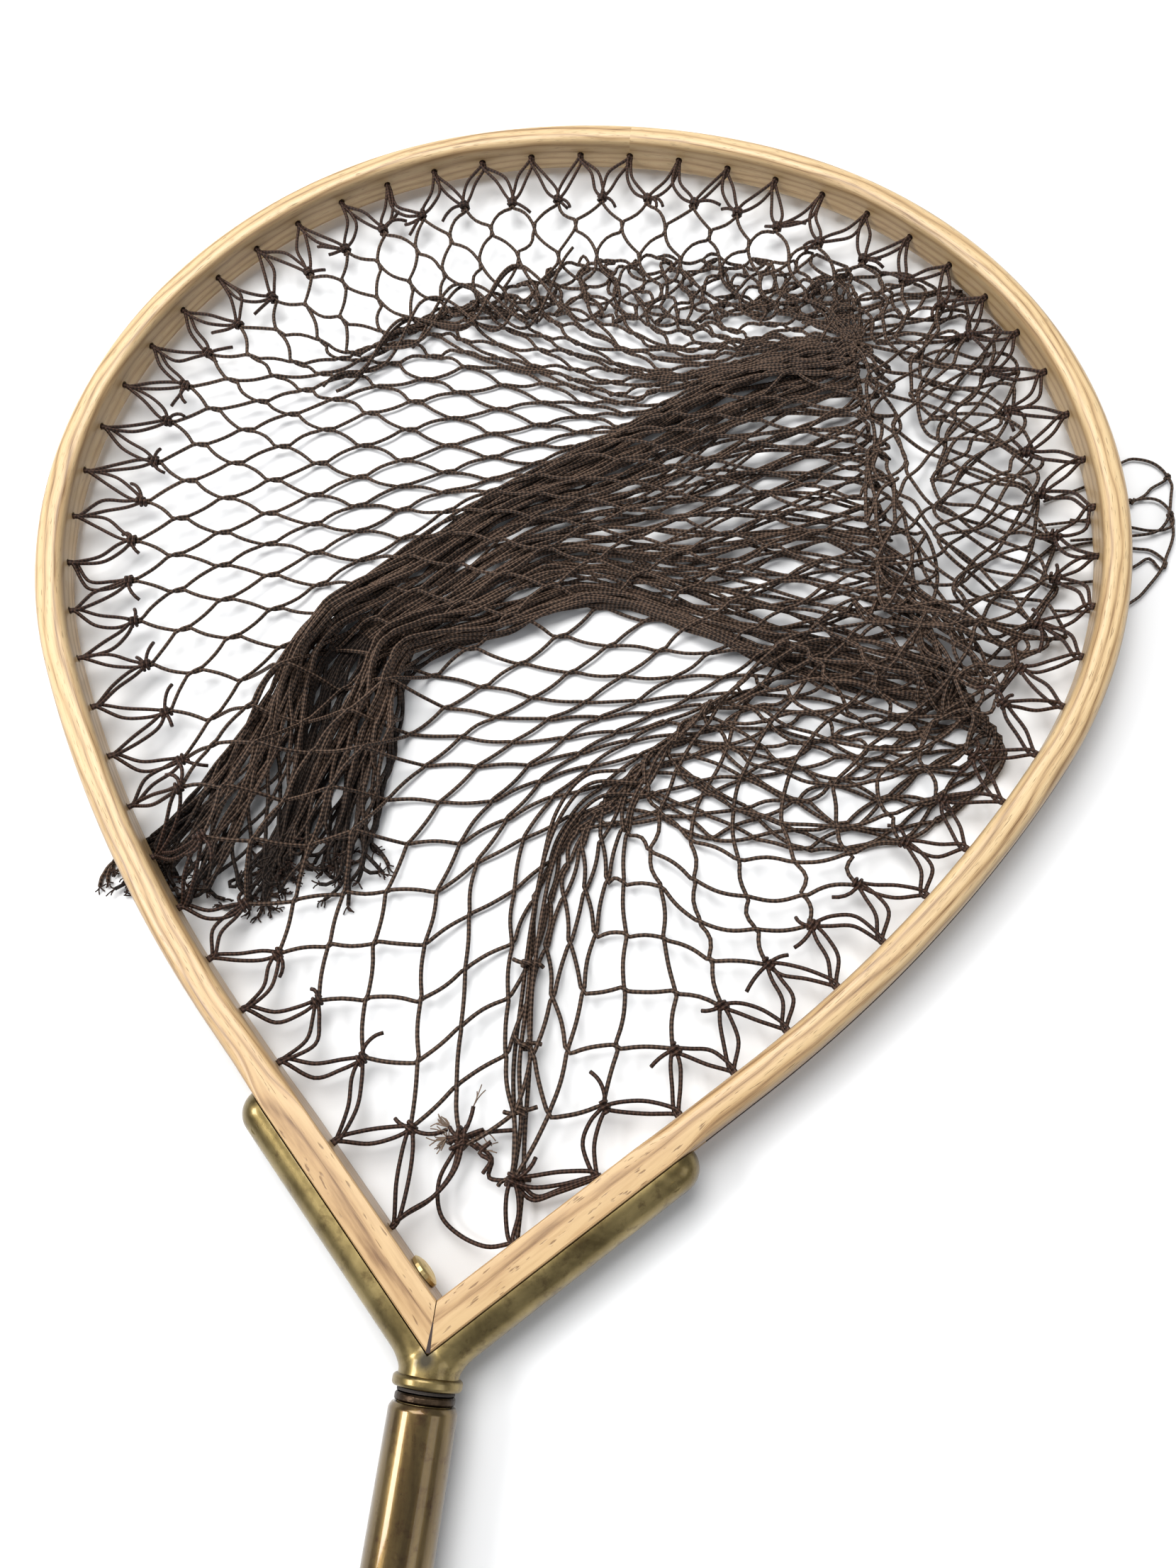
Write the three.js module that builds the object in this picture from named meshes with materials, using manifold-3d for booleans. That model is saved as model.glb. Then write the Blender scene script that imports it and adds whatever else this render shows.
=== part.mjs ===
// Landing net: a steam-bent ash bow in a brass fork, on a telescopic brass handle.
// Millimetres, +Z up. The bow lies level and the handle runs along -Y.
// While the parts are shaped, the bow's point is at x = 0, y = 0 and the table is z = 0.
import * as THREE from 'three';
import { mergeGeometries, mergeVertices } from 'three/addons/utils/BufferGeometryUtils.js';
import Module from 'manifold-3d';

const wasm = await Module();
wasm.setup();

// ---------------------------------------------------------------- driving dimensions
const DEG = Math.PI / 180;
const GAP = 0.3;                        // between pieces that touch
const AXIS_Z = 12;                      // height of the handle's axis and the bow's mid-plane

const BOW_WIDTH = 11;                   // across the wood, in the bow's plane
const BOW_DEPTH = 17.2;                 // top face to underside
const BOW_ROUND = 4.6;                  // rounding of the outer edges
const BOW_EASE = 1.2;                   // rounding of the inner edges
const GROOVE_WIDTH = 3.6;
const GROOVE_DEPTH = 2.4;
const APEX_HALF_ANGLE = 46.25 * DEG;    // between each straight arm and the handle's axis
const SIDE = { radius: 517, turn: 17.7 * DEG };
const SHOULDER = { radius: 191, turn: 101.3 * DEG };
const CROWN_RADIUS = 250.8;
const MITRE_GAP = 0.3;
const BOW_STEPS = 40;                   // stations in each half of the bow

const HOLE_PITCH = 22.96;               // round the bow, counted from the crown
const HOLES_PER_SIDE = 26;
const ARM_HOLES = [33, 66];             // from the point, where the fork covers the wood
const HOLE_RADIUS = 1.4;

const FORK_RADIUS = 8.4;                // half-round arms
const FORK_ARM_END = 96;                // along the arm, from the point
const FORK_BEND = 23.6;                 // centre line radius where the arms leave the stem
const STEM_RADIUS = 9.5;
const BEAD_RADIUS = 10.8;
const BEAD_TOP = -13.8;
const BEAD_FACE = -17.3;

const FORK_FACE = BOW_WIDTH / 2 + GAP;  // flat face against the wood

const BOLT_AT = 15.4;                   // along each arm, from the point
const BOLT_RADIUS = 2;
const BOLT_HEAD_RADIUS = 3.4;
const BOLT_HEAD_SEAT = 11.6;            // outward, under the bolt's head
const BOLT_HEAD_HEIGHT = 1.6;
const BOLT_TIP = -BOW_WIDTH / 2 - 1.4;  // left arm: through the wood, into the nut
const SCREW_TIP = -3.2;                 // right arm: ends inside the wood
const NUT_RADIUS = 5.6;
const NUT_HEIGHT = 2.6;
const PIN_AT = 84;
const PIN_RADIUS = 1.9;
const PIN_LENGTH = 12;
const PIN_TILT = 50 * DEG;              // above the bow's plane

const STUD_RADIUS = 4.75;
const STUD_TOP = -9.8;
const STUD_END = -33.5;
const WASHER_RADIUS = 8.9;
const WASHER_THICKNESS = 0.8;
const FERRULE_RADIUS = 9.3;
const FERRULE_FLANGE = 2.4;
const FERRULE_END = -42;

const MOUTH_Y = -21.5;                  // mouth of the handle tube
const HANDLE_LENGTH = 400;
const HANDLE_RADIUS = 10.6;
const HANDLE_BORE = 9.5;
const MOUTH_BORE = 8.6;                 // the mouth is rolled in
const SLIDE_RADIUS = 8.2;
const SLIDE_BORE = 7.3;
const SLIDE_LENGTH = 380;
const BUSH_LENGTH = 22;
const STOP_LENGTH = 40;
const STOP_PIN_RADIUS = 1.2;
const BUTT_RADIUS = 12;
const BUTT_LENGTH = 14;
const BUTT_FACE_RADIUS = 7;
const SPIGOT_LENGTH = 16;
const BUTT_PIN_RADIUS = 1.5;

const TWINE_LAYER = 2.2;                // one layer of mesh lying on the table
const TIE_REACH = 21;                   // from the bow's centre line to the rim knots
const SEGMENTS = 32;

// ---------------------------------------------------------------- materials
const finish = (color, roughness, metalness) => new THREE.MeshStandardMaterial({ color, roughness, metalness });
const ash = finish('#dcb98a', 0.5, 0);
const forkBrass = finish('#9c8a4e', 0.32, 1);
const tubeBrass = finish('#7a5f33', 0.34, 1);
const innerBrass = finish('#b39a58', 0.3, 1);
const steel = finish('#8b8d8c', 0.35, 1);
const fibre = finish('#2e2620', 0.85, 0);
const nylon = finish('#4a3a30', 0.7, 0);

// ---------------------------------------------------------------- solids
function manifoldOf(geometry) {
  const bare = geometry.clone();
  bare.deleteAttribute('normal');
  bare.deleteAttribute('uv');
  const merged = mergeVertices(bare, 1e-4);
  const corners = [];
  for (let i = 0; i < merged.index.count; i += 3) {
    const [a, b, c] = [merged.index.getX(i), merged.index.getX(i + 1), merged.index.getX(i + 2)];
    if (a !== b && b !== c && c !== a) corners.push(a, b, c);
  }
  return new wasm.Manifold(new wasm.Mesh({
    numProp: 3,
    vertProperties: new Float32Array(merged.attributes.position.array),
    triVerts: new Uint32Array(corners),
  }));
}

function geometryOf(manifold) {
  const mesh = manifold.getMesh();
  const geometry = new THREE.BufferGeometry();
  geometry.setAttribute('position', new THREE.BufferAttribute(mesh.vertProperties, 3));
  geometry.setIndex(new THREE.BufferAttribute(mesh.triVerts, 1));
  geometry.computeVertexNormals();
  return geometry;
}

const join = (...geometries) => geometryOf(geometries.map(manifoldOf).reduce((sum, next) => sum.add(next)));
const cut = (geometry, ...tools) => geometryOf(
  tools.map(manifoldOf).reduce((rest, tool) => rest.subtract(tool), manifoldOf(geometry)));
const common = (geometry, other) => geometryOf(manifoldOf(geometry).intersect(manifoldOf(other)));

function block(x0, x1, y0, y1, z0, z1) {
  return new THREE.BoxGeometry(x1 - x0, y1 - y0, z1 - z0)
    .translate((x0 + x1) / 2, (y0 + y1) / 2, (z0 + z1) / 2);
}

// The same shape on the other arm.
function mirrored(geometry) {
  const twin = (geometry.index ? geometry.toNonIndexed() : geometry.clone()).scale(-1, 1, 1);
  const positions = twin.attributes.position;
  for (let i = 0; i < positions.count; i += 3) {
    const [x, y, z] = [positions.getX(i), positions.getY(i), positions.getZ(i)];
    positions.setXYZ(i, positions.getX(i + 2), positions.getY(i + 2), positions.getZ(i + 2));
    positions.setXYZ(i + 2, x, y, z);
  }
  return geometryOf(manifoldOf(twin));
}

// A piece turned about the handle's axis from [radius, y] points, in rising order outside.
function turned(profile, segments = SEGMENTS) {
  const points = profile.map(([radius, y]) => new THREE.Vector2(radius, y));
  return new THREE.LatheGeometry(points, segments).translate(0, 0, AXIS_Z);
}

const rod = (radius, y0, y1, segments = SEGMENTS) => turned([[0, y0], [radius, y0], [radius, y1], [0, y1]], segments);
const ring = (bore, radius, y0, y1) => turned([[bore, y0], [radius, y0], [radius, y1], [bore, y1], [bore, y0]]);

function crossRod(radius, halfLength, y) {
  return new THREE.CylinderGeometry(radius, radius, 2 * halfLength, 16)
    .rotateZ(Math.PI / 2).translate(0, y, AXIS_Z);
}

// ---------------------------------------------------------------- the bow's line
const CROWN_TURN = Math.PI / 2 + APEX_HALF_ANGLE - SIDE.turn - SHOULDER.turn;
const ARCS = [SIDE, SHOULDER, { radius: CROWN_RADIUS, turn: CROWN_TURN }];

// Length of each straight arm, so that the crown ends on the mid-line.
function straightLength() {
  let heading = APEX_HALF_ANGLE;
  let x = 0;
  for (const { radius, turn } of ARCS) {
    x += radius * (Math.cos(heading - turn) - Math.cos(heading));
    heading -= turn;
  }
  return -x / Math.sin(APEX_HALF_ANGLE);
}

const STRAIGHT = straightLength();
const HALF_BOW = ARCS.reduce((sum, { radius, turn }) => sum + radius * turn, STRAIGHT);

// Point and outward direction at a distance along the right half of the centre line.
function alongBow(distance, outward = 0) {
  let heading = APEX_HALF_ANGLE;
  const first = Math.min(distance, STRAIGHT);
  let x = first * Math.sin(heading);
  let y = first * Math.cos(heading);
  let left = distance - first;
  for (const [i, { radius, turn }] of ARCS.entries()) {
    const angle = i === ARCS.length - 1 ? left / radius : Math.min(left / radius, turn);
    x += radius * (Math.cos(heading - angle) - Math.cos(heading));
    y += radius * (Math.sin(heading) - Math.sin(heading - angle));
    heading -= angle;
    left -= angle * radius;
  }
  const out = new THREE.Vector2(Math.cos(heading), -Math.sin(heading));
  return { point: new THREE.Vector2(x, y).addScaledVector(out, outward), out };
}

class BowLine extends THREE.Curve {
  constructor(from, to) {
    super();
    this.from = from;
    this.to = to;
  }

  getPoint(t, target = new THREE.Vector3()) {
    const { point } = alongBow(this.from + (this.to - this.from) * t);
    return target.set(point.x, point.y, AXIS_Z);
  }
}

// Half of a moulding that follows the bow, from [outward, height] corners about its centre
// line. The extrusion's x runs down and its y runs inwards.
function moulding(corners, from, steps = BOW_STEPS) {
  const shape = new THREE.Shape(corners.map(([outward, height]) => new THREE.Vector2(-height, -outward)));
  const path = new BowLine(from, HALF_BOW + 1);
  const sweep = new THREE.ExtrudeGeometry(shape, { steps, extrudePath: path, bevelEnabled: false });
  return common(sweep, block(0, 1000, -100, 1000, -50, 50));
}

const bothHalves = (half) => join(half, mirrored(half));

// Points of a quarter round, from one angle to another.
function quarter(x, y, radius, start, steps) {
  return Array.from({ length: steps + 1 }, (_, i) => {
    const angle = start + (i / steps) * Math.PI / 2;
    return [x + radius * Math.cos(angle), y + radius * Math.sin(angle)];
  });
}

// The place of a piece set on the right arm: its y axis turns to the arm's outward direction,
// its x axis to the point of the bow, and its z axis stays up.
function onArm(distance, outward, height = AXIS_Z) {
  const { point, out } = alongBow(distance, outward);
  const place = new THREE.Matrix4().makeRotationZ(Math.atan2(out.y, out.x) - Math.PI / 2);
  return place.setPosition(point.x, point.y, height);
}

// ---------------------------------------------------------------- ash bow
function bowSection() {
  const half = BOW_WIDTH / 2;
  const top = BOW_DEPTH / 2;
  return [
    ...quarter(half - BOW_ROUND, top - BOW_ROUND, BOW_ROUND, 0, 3),
    ...quarter(-half + BOW_EASE, top - BOW_EASE, BOW_EASE, Math.PI / 2, 1),
    ...quarter(-half + BOW_EASE, -top + BOW_EASE, BOW_EASE, Math.PI, 1),
    ...quarter(half - BOW_ROUND, -top + BOW_ROUND, BOW_ROUND, 1.5 * Math.PI, 3),
    [half, -GROOVE_WIDTH / 2],
    [half - GROOVE_DEPTH, -GROOVE_WIDTH / 2],
    [half - GROOVE_DEPTH, GROOVE_WIDTH / 2],
    [half, GROOVE_WIDTH / 2],
  ];
}

function holeDistances() {
  const round = Array.from({ length: HOLES_PER_SIDE + 1 }, (_, i) => HALF_BOW - i * HOLE_PITCH);
  return [...round, ...ARM_HOLES];
}

function hole(distance) {
  return new THREE.CylinderGeometry(HOLE_RADIUS, HOLE_RADIUS, BOW_WIDTH + 4, 8)
    .applyMatrix4(onArm(distance, 0));
}

// The bolt's clearance in the right arm, from inside or through the wood out past the fork.
function boltBore(inner) {
  const radius = BOLT_RADIUS + GAP;
  const outer = 30;
  return new THREE.CylinderGeometry(radius, radius, outer - inner, 12)
    .translate(0, (inner + outer) / 2, 0)
    .applyMatrix4(onArm(BOLT_AT, 0));
}

// Square-edged wood where the fork holds it.
function squareArm() {
  const end = FORK_ARM_END - 8;
  return block(-end, 12, -BOW_WIDTH / 2, BOW_WIDTH / 2, -BOW_DEPTH / 2, BOW_DEPTH / 2)
    .applyMatrix4(onArm(0, 0));
}

function makeBow() {
  const past = block(0, 1000, -100, 1000, -50, 50);
  const half = join(moulding(bowSection(), -12), common(squareArm(), past));
  const rightHoles = holeDistances().filter((distance) => distance < HALF_BOW - 1).map(hole);
  const crownHole = hole(HALF_BOW);
  const drilled = cut(half, ...rightHoles, pinBlank(PIN_RADIUS + GAP, GAP));
  const mitre = block(-MITRE_GAP / 2, MITRE_GAP / 2, -40, 60, -20, 60);
  const through = mirrored(boltBore(-BOW_WIDTH));
  const blind = boltBore(SCREW_TIP - GAP);
  return cut(bothHalves(drilled), crownHole, mitre, through, blind);
}

function makeGrooveCord() {
  const radius = 1.2;
  const outward = BOW_WIDTH / 2 - GROOVE_DEPTH + GAP + radius;
  const sides = 6;
  const corners = Array.from({ length: sides }, (_, i) => {
    const angle = (i + 0.5) * 2 * Math.PI / sides;
    return [outward + radius * Math.cos(angle), radius * Math.sin(angle)];
  });
  return bothHalves(moulding(corners, FORK_ARM_END + 4, 40));
}

// ---------------------------------------------------------------- brass fork
class ForkBend extends THREE.Curve {
  getPoint(t, target = new THREE.Vector3()) {
    const start = -FORK_FACE / Math.sin(APEX_HALF_ANGLE) - FORK_BEND * Math.tan(APEX_HALF_ANGLE / 2);
    const turn = APEX_HALF_ANGLE * t;
    return target.set(FORK_BEND * (1 - Math.cos(turn)), start + FORK_BEND * Math.sin(turn), AXIS_Z);
  }
}

function forkBendHalf() {
  const circle = new THREE.Shape().absarc(0, 0, FORK_RADIUS - 0.05, 0, 2 * Math.PI);
  return new THREE.ExtrudeGeometry(circle, {
    steps: 8, extrudePath: new ForkBend(), bevelEnabled: false, curveSegments: 12,
  });
}

// A round bar with a round end, laid along the wood's outer face.
function forkArm() {
  const start = FORK_BEND * Math.tan(APEX_HALF_ANGLE / 2) - FORK_FACE / Math.tan(APEX_HALF_ANGLE) - 1;
  const end = FORK_ARM_END - FORK_RADIUS;
  const nose = Array.from({ length: 6 }, (_, i) => {
    const angle = (i + 1) / 6 * Math.PI / 2;
    return [FORK_RADIUS * Math.cos(angle), end + FORK_RADIUS * Math.sin(angle)];
  });
  nose[nose.length - 1][0] = 0;
  const points = [[0, start], [FORK_RADIUS, start], [FORK_RADIUS, end], ...nose];
  const bar = new THREE.LatheGeometry(points.map(([radius, y]) => new THREE.Vector2(radius, y)), SEGMENTS);
  return bar.rotateZ(Math.PI / 2).applyMatrix4(onArm(0, FORK_FACE));
}

function forkStem() {
  const foot = BEAD_FACE + 0.5;
  return turned([
    [0, BEAD_FACE], [BEAD_RADIUS - 0.8, BEAD_FACE], [BEAD_RADIUS, foot + 0.3], [BEAD_RADIUS, BEAD_TOP - 0.9],
    [BEAD_RADIUS - 0.6, BEAD_TOP], [STEM_RADIUS, BEAD_TOP + 0.1], [STEM_RADIUS - 0.2, -7], [0, -7],
  ]);
}

// Everything between the two flat faces, where the wood lies.
function bowWedge() {
  const reach = 400;
  const tip = -FORK_FACE / Math.sin(APEX_HALF_ANGLE);
  const far = new THREE.Vector2(Math.sin(APEX_HALF_ANGLE), Math.cos(APEX_HALF_ANGLE)).multiplyScalar(reach);
  const shape = new THREE.Shape([
    new THREE.Vector2(0, tip), new THREE.Vector2(far.x, tip + far.y), new THREE.Vector2(-far.x, tip + far.y),
  ]);
  return new THREE.ExtrudeGeometry(shape, { depth: 80, bevelEnabled: false }).translate(0, 0, -20);
}

function makeFork() {
  const half = join(forkBendHalf(), forkArm());
  const belowBead = block(-40, 40, -60, BEAD_FACE, -20, 60);
  const blank = cut(join(half, mirrored(half), forkStem()), bowWedge(), belowBead);
  const studBore = rod(STUD_RADIUS + GAP, BEAD_FACE - 1, STUD_TOP + GAP, 24);
  const headBore = new THREE.CylinderGeometry(BOLT_HEAD_RADIUS + GAP, BOLT_HEAD_RADIUS + GAP, 20, 16)
    .translate(0, 10 + BOLT_HEAD_SEAT - GAP, 0)
    .applyMatrix4(onArm(BOLT_AT, 0));
  const tools = [boltBore(0), headBore, pinBlank(PIN_RADIUS + GAP, 8)];
  return cut(blank, studBore, ...tools, ...tools.map(mirrored));
}

// ---------------------------------------------------------------- fixings
// A headed bolt or screw on the right arm, from its tip out to its head.
function makeBolt(tip) {
  const profile = [
    [0, tip], [BOLT_RADIUS, tip], [BOLT_RADIUS, BOLT_HEAD_SEAT], [BOLT_HEAD_RADIUS, BOLT_HEAD_SEAT],
    [BOLT_HEAD_RADIUS, BOLT_HEAD_SEAT + BOLT_HEAD_HEIGHT], [0, BOLT_HEAD_SEAT + BOLT_HEAD_HEIGHT],
  ];
  const points = profile.map(([radius, y]) => new THREE.Vector2(radius, y));
  return new THREE.LatheGeometry(points, 16).applyMatrix4(onArm(BOLT_AT, 0));
}

// Domed round nut on the inside of the wood, with a blind hole and a driver slot.
function makeNut() {
  const face = -BOW_WIDTH / 2 - GAP;
  const dome = -NUT_HEIGHT;
  const bore = BOLT_RADIUS + GAP;
  const profile = [
    [0, dome], [NUT_RADIUS * 0.5, dome + 0.25], [NUT_RADIUS * 0.85, dome + 0.9], [NUT_RADIUS, dome + 1.5],
    [NUT_RADIUS, 0], [bore, 0], [bore, -1.4], [0, -1.4],
  ];
  const points = profile.map(([radius, y]) => new THREE.Vector2(radius, y));
  const slot = block(-8, 8, dome - 1, dome + 0.6, -0.5, 0.5);
  return cut(new THREE.LatheGeometry(points, 24), slot).applyMatrix4(onArm(BOLT_AT, face));
}

// A flush pin square to the fork's round surface near the end of each arm.
function pinBlank(radius, proud = 0) {
  const length = PIN_LENGTH + proud + (proud ? GAP : 0);
  const surface = FORK_RADIUS - 0.1 + proud;
  return new THREE.CylinderGeometry(radius, radius, length, 12)
    .translate(0, surface - length / 2, 0)
    .rotateX(PIN_TILT)
    .applyMatrix4(onArm(PIN_AT, FORK_FACE));
}

// ---------------------------------------------------------------- handle
const HANDLE_END = MOUTH_Y - HANDLE_LENGTH;
const SLIDE_TOP = MOUTH_Y + GAP;
const SLIDE_END = MOUTH_Y - SLIDE_LENGTH;
const BUTT_PIN_Y = HANDLE_END + SPIGOT_LENGTH * 0.6;
const STOP_PIN_Y = SLIDE_END + STOP_LENGTH / 2;

function makeHandleTube() {
  const tube = turned([
    [HANDLE_BORE, HANDLE_END], [HANDLE_RADIUS, HANDLE_END], [HANDLE_RADIUS, MOUTH_Y - 1.8],
    [HANDLE_RADIUS - 0.3, MOUTH_Y - 0.8], [HANDLE_RADIUS - 1, MOUTH_Y - 0.15], [MOUTH_BORE + 0.3, MOUTH_Y],
    [MOUTH_BORE, MOUTH_Y - 0.3], [MOUTH_BORE, MOUTH_Y - 1.4], [HANDLE_BORE, MOUTH_Y - 2],
    [HANDLE_BORE, HANDLE_END],
  ]);
  return cut(tube, crossRod(BUTT_PIN_RADIUS + GAP, 20, BUTT_PIN_Y));
}

function makeMouthBush() {
  return ring(SLIDE_RADIUS + GAP, HANDLE_BORE - GAP, MOUTH_Y - 2.3 - BUSH_LENGTH, MOUTH_Y - 2.3);
}

function makeSlideTube() {
  const tube = ring(SLIDE_BORE, SLIDE_RADIUS, SLIDE_END, SLIDE_TOP - GAP);
  return cut(tube, crossRod(STOP_PIN_RADIUS + GAP, 20, STOP_PIN_Y));
}

function makeStopSleeve() {
  const sleeve = ring(SLIDE_RADIUS + GAP, HANDLE_BORE - GAP, SLIDE_END, SLIDE_END + STOP_LENGTH);
  return cut(sleeve, crossRod(STOP_PIN_RADIUS + GAP, 20, STOP_PIN_Y));
}

function makeFerrule() {
  const top = SLIDE_TOP + FERRULE_FLANGE;
  const bore = STUD_RADIUS + GAP;
  const spigot = SLIDE_BORE - GAP;
  return turned([
    [bore, FERRULE_END], [spigot, FERRULE_END], [spigot, SLIDE_TOP], [FERRULE_RADIUS - 0.4, SLIDE_TOP],
    [FERRULE_RADIUS, SLIDE_TOP + 0.5], [FERRULE_RADIUS, top - 0.5], [FERRULE_RADIUS - 0.4, top], [bore, top],
    [bore, FERRULE_END],
  ]);
}

function makeWasher() {
  const top = BEAD_FACE - GAP;
  return ring(STUD_RADIUS + GAP, WASHER_RADIUS, top - WASHER_THICKNESS, top);
}

function makeButtCap() {
  const shoulder = HANDLE_END - GAP;
  const end = shoulder - BUTT_LENGTH;
  const cap = turned([
    [0, end], [BUTT_FACE_RADIUS, end], [BUTT_RADIUS - 2.4, end + 1.2], [BUTT_RADIUS - 0.6, end + 3.2],
    [BUTT_RADIUS, end + 5.4], [BUTT_RADIUS, shoulder - 1], [BUTT_RADIUS - 0.6, shoulder],
    [HANDLE_BORE - GAP, shoulder], [HANDLE_BORE - GAP, shoulder + SPIGOT_LENGTH], [0, shoulder + SPIGOT_LENGTH],
  ]);
  return cut(cap, crossRod(BUTT_PIN_RADIUS + GAP, 20, BUTT_PIN_Y));
}

// ---------------------------------------------------------------- net, as plain soft solids
const UPPER = TWINE_LAYER + GAP;        // height at which the folded layers start

// The region inside the bow up to an offset from its centre line, as a flat plate.
function insideBow(outward, from, z0, z1) {
  const steps = 40;
  const side = Array.from({ length: steps + 1 }, (_, i) => {
    return alongBow(from + (HALF_BOW - from) * i / steps, outward).point;
  });
  side[steps].x = 0;
  const left = side.slice(0, steps).reverse().map(({ x, y }) => new THREE.Vector2(-x, y));
  const shape = new THREE.Shape([...side, ...left]);
  return new THREE.ExtrudeGeometry(shape, { depth: z1 - z0, bevelEnabled: false }).translate(0, 0, z0);
}

function layer(points, z0, z1) {
  const [first, ...rest] = points.map(([x, y]) => new THREE.Vector2(x, y));
  const shape = new THREE.Shape().moveTo(first.x, first.y);
  shape.splineThru([...rest, first]);
  return new THREE.ExtrudeGeometry(shape, { depth: z1 - z0, bevelEnabled: false, curveSegments: 3 })
    .translate(0, 0, z0);
}

const insideTies = (geometry) => common(geometry, insideBow(-TIE_REACH - 4, 40, -5, 60));

// The cut end of the tail, which slips out under the bow, grown about its middle.
function tailEnd(growth, depth) {
  const middle = [-134, 146];
  const corners = [[-122, 180], [-166, 146], [-150, 122], [-100, 134]];
  const shape = new THREE.Shape(corners.map((corner) => new THREE.Vector2(
    ...corner.map((value, i) => middle[i] + (value - middle[i]) * growth))));
  return new THREE.ExtrudeGeometry(shape, { depth, bevelEnabled: false });
}

const makeNetTailEnd = () => tailEnd(1, 3);

function makeNetFlat() {
  const notch = tailEnd(1.04, 20).translate(0, 0, -5);
  return cut(insideBow(-TIE_REACH - 3, 38, 0, TWINE_LAYER), notch);
}

const makeNetGather = () => insideTies(layer([
  [109, 404], [78, 399], [48, 373], [14, 352], [-14, 331], [-36, 308], [-55, 286], [-75, 270], [-99, 248],
  [-80, 239], [-57, 233], [-38, 241], [-4, 261], [22, 273], [52, 253], [82, 246], [114, 241], [147, 240],
  [176, 216], [164, 255], [146, 283], [133, 318], [127, 359], [118, 394],
], UPPER, 9.4));

const makeNetTailLeft = () => layer([
  [-97, 238], [-108, 222], [-117, 200], [-118, 184], [-98, 141], [-88, 146], [-85, 190], [-84, 229],
], UPPER, 8.4);

const makeNetTailRight = () => layer([
  [-77, 227], [-80, 200], [-84, 160], [-84, 141], [-68, 137], [-52, 143], [-57, 180], [-60, 220],
], UPPER, 8.4);

const makeNetTopFold = () => insideTies(layer([
  [-128, 374], [-111, 397], [-82, 416], [-53, 433], [-23, 444], [24, 456], [71, 461], [124, 461], [163, 437],
  [178, 404], [150, 407], [118, 411], [84, 408], [60, 401], [34, 389], [6, 396], [-30, 404], [-65, 390],
  [-100, 375],
], UPPER, 5.4));

const makeNetSideHeap = () => insideTies(layer([
  [124, 402], [178, 400], [198, 340], [206, 270], [196, 214], [181, 213], [170, 256], [150, 286], [138, 320],
  [132, 360],
], UPPER, 8));

const makeNetLowFold = () => insideTies(layer([
  [17, 190], [36, 218], [61, 236], [101, 236], [140, 234], [172, 212], [170, 193], [149, 181], [118, 167],
  [94, 159], [63, 153], [39, 155], [18, 162],
], UPPER, 6));

function makeNetSeam() {
  const radius = 2.4;
  const route = [[3, 184], [4, 159], [6, 133], [9, 108], [11, 84], [14, 61], [16, 47]];
  const path = new THREE.CatmullRomCurve3(route.map(([x, y]) => new THREE.Vector3(x, y, UPPER + radius)));
  const section = new THREE.Shape().absarc(0, 0, radius, 0, 2 * Math.PI);
  return new THREE.ExtrudeGeometry(section, {
    steps: 20, extrudePath: path, bevelEnabled: false, curveSegments: 5,
  });
}

function makeNetKnot() {
  return new THREE.SphereGeometry(1, 16, 10).scale(6, 8, 3).translate(-1, 60, UPPER + 3);
}

// The ties slope from the drilled holes down to the knots of the rim meshes.
function makeRimTies() {
  const start = -BOW_WIDTH / 2 - GAP;
  const inner = 0.6;
  const outer = -8.4;
  const thickness = 1.2;
  const corners = [[start, inner], [-TIE_REACH, outer + thickness], [-TIE_REACH, outer], [start, inner - thickness]];
  return bothHalves(moulding(corners, 34, 48));
}

// ---------------------------------------------------------------- assembly
const landingNet = new THREE.Group();
const head = new THREE.Group();
const handle = new THREE.Group();
landingNet.add(head, handle);

function place(group, name, geometry, material) {
  const mesh = new THREE.Mesh(geometry, material);
  mesh.name = name;
  group.add(mesh);
}

place(head, 'ash_bow', makeBow(), ash);
place(head, 'brass_fork', makeFork(), forkBrass);
place(head, 'arm_bolt_left', mirrored(makeBolt(BOLT_TIP)), steel);
place(head, 'arm_nut_left', mirrored(makeNut()), innerBrass);
place(head, 'arm_screw_right', makeBolt(SCREW_TIP), steel);
place(head, 'arm_pin_left', mirrored(pinBlank(PIN_RADIUS)), forkBrass);
place(head, 'arm_pin_right', pinBlank(PIN_RADIUS), forkBrass);
place(head, 'groove_cord', makeGrooveCord(), nylon);
place(head, 'rim_ties', makeRimTies(), nylon);
place(head, 'net_flat', makeNetFlat(), nylon);
place(head, 'net_gather', makeNetGather(), nylon);
place(head, 'net_tail_left', makeNetTailLeft(), nylon);
place(head, 'net_tail_right', makeNetTailRight(), nylon);
place(head, 'net_tail_end', makeNetTailEnd(), nylon);
place(head, 'net_top_fold', makeNetTopFold(), nylon);
place(head, 'net_side_heap', makeNetSideHeap(), nylon);
place(head, 'net_low_fold', makeNetLowFold(), nylon);
place(head, 'net_seam_lacing', makeNetSeam(), nylon);
place(head, 'net_seam_knot', makeNetKnot(), nylon);
place(head, 'head_stud', rod(STUD_RADIUS, STUD_END, STUD_TOP, 24), steel);

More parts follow.
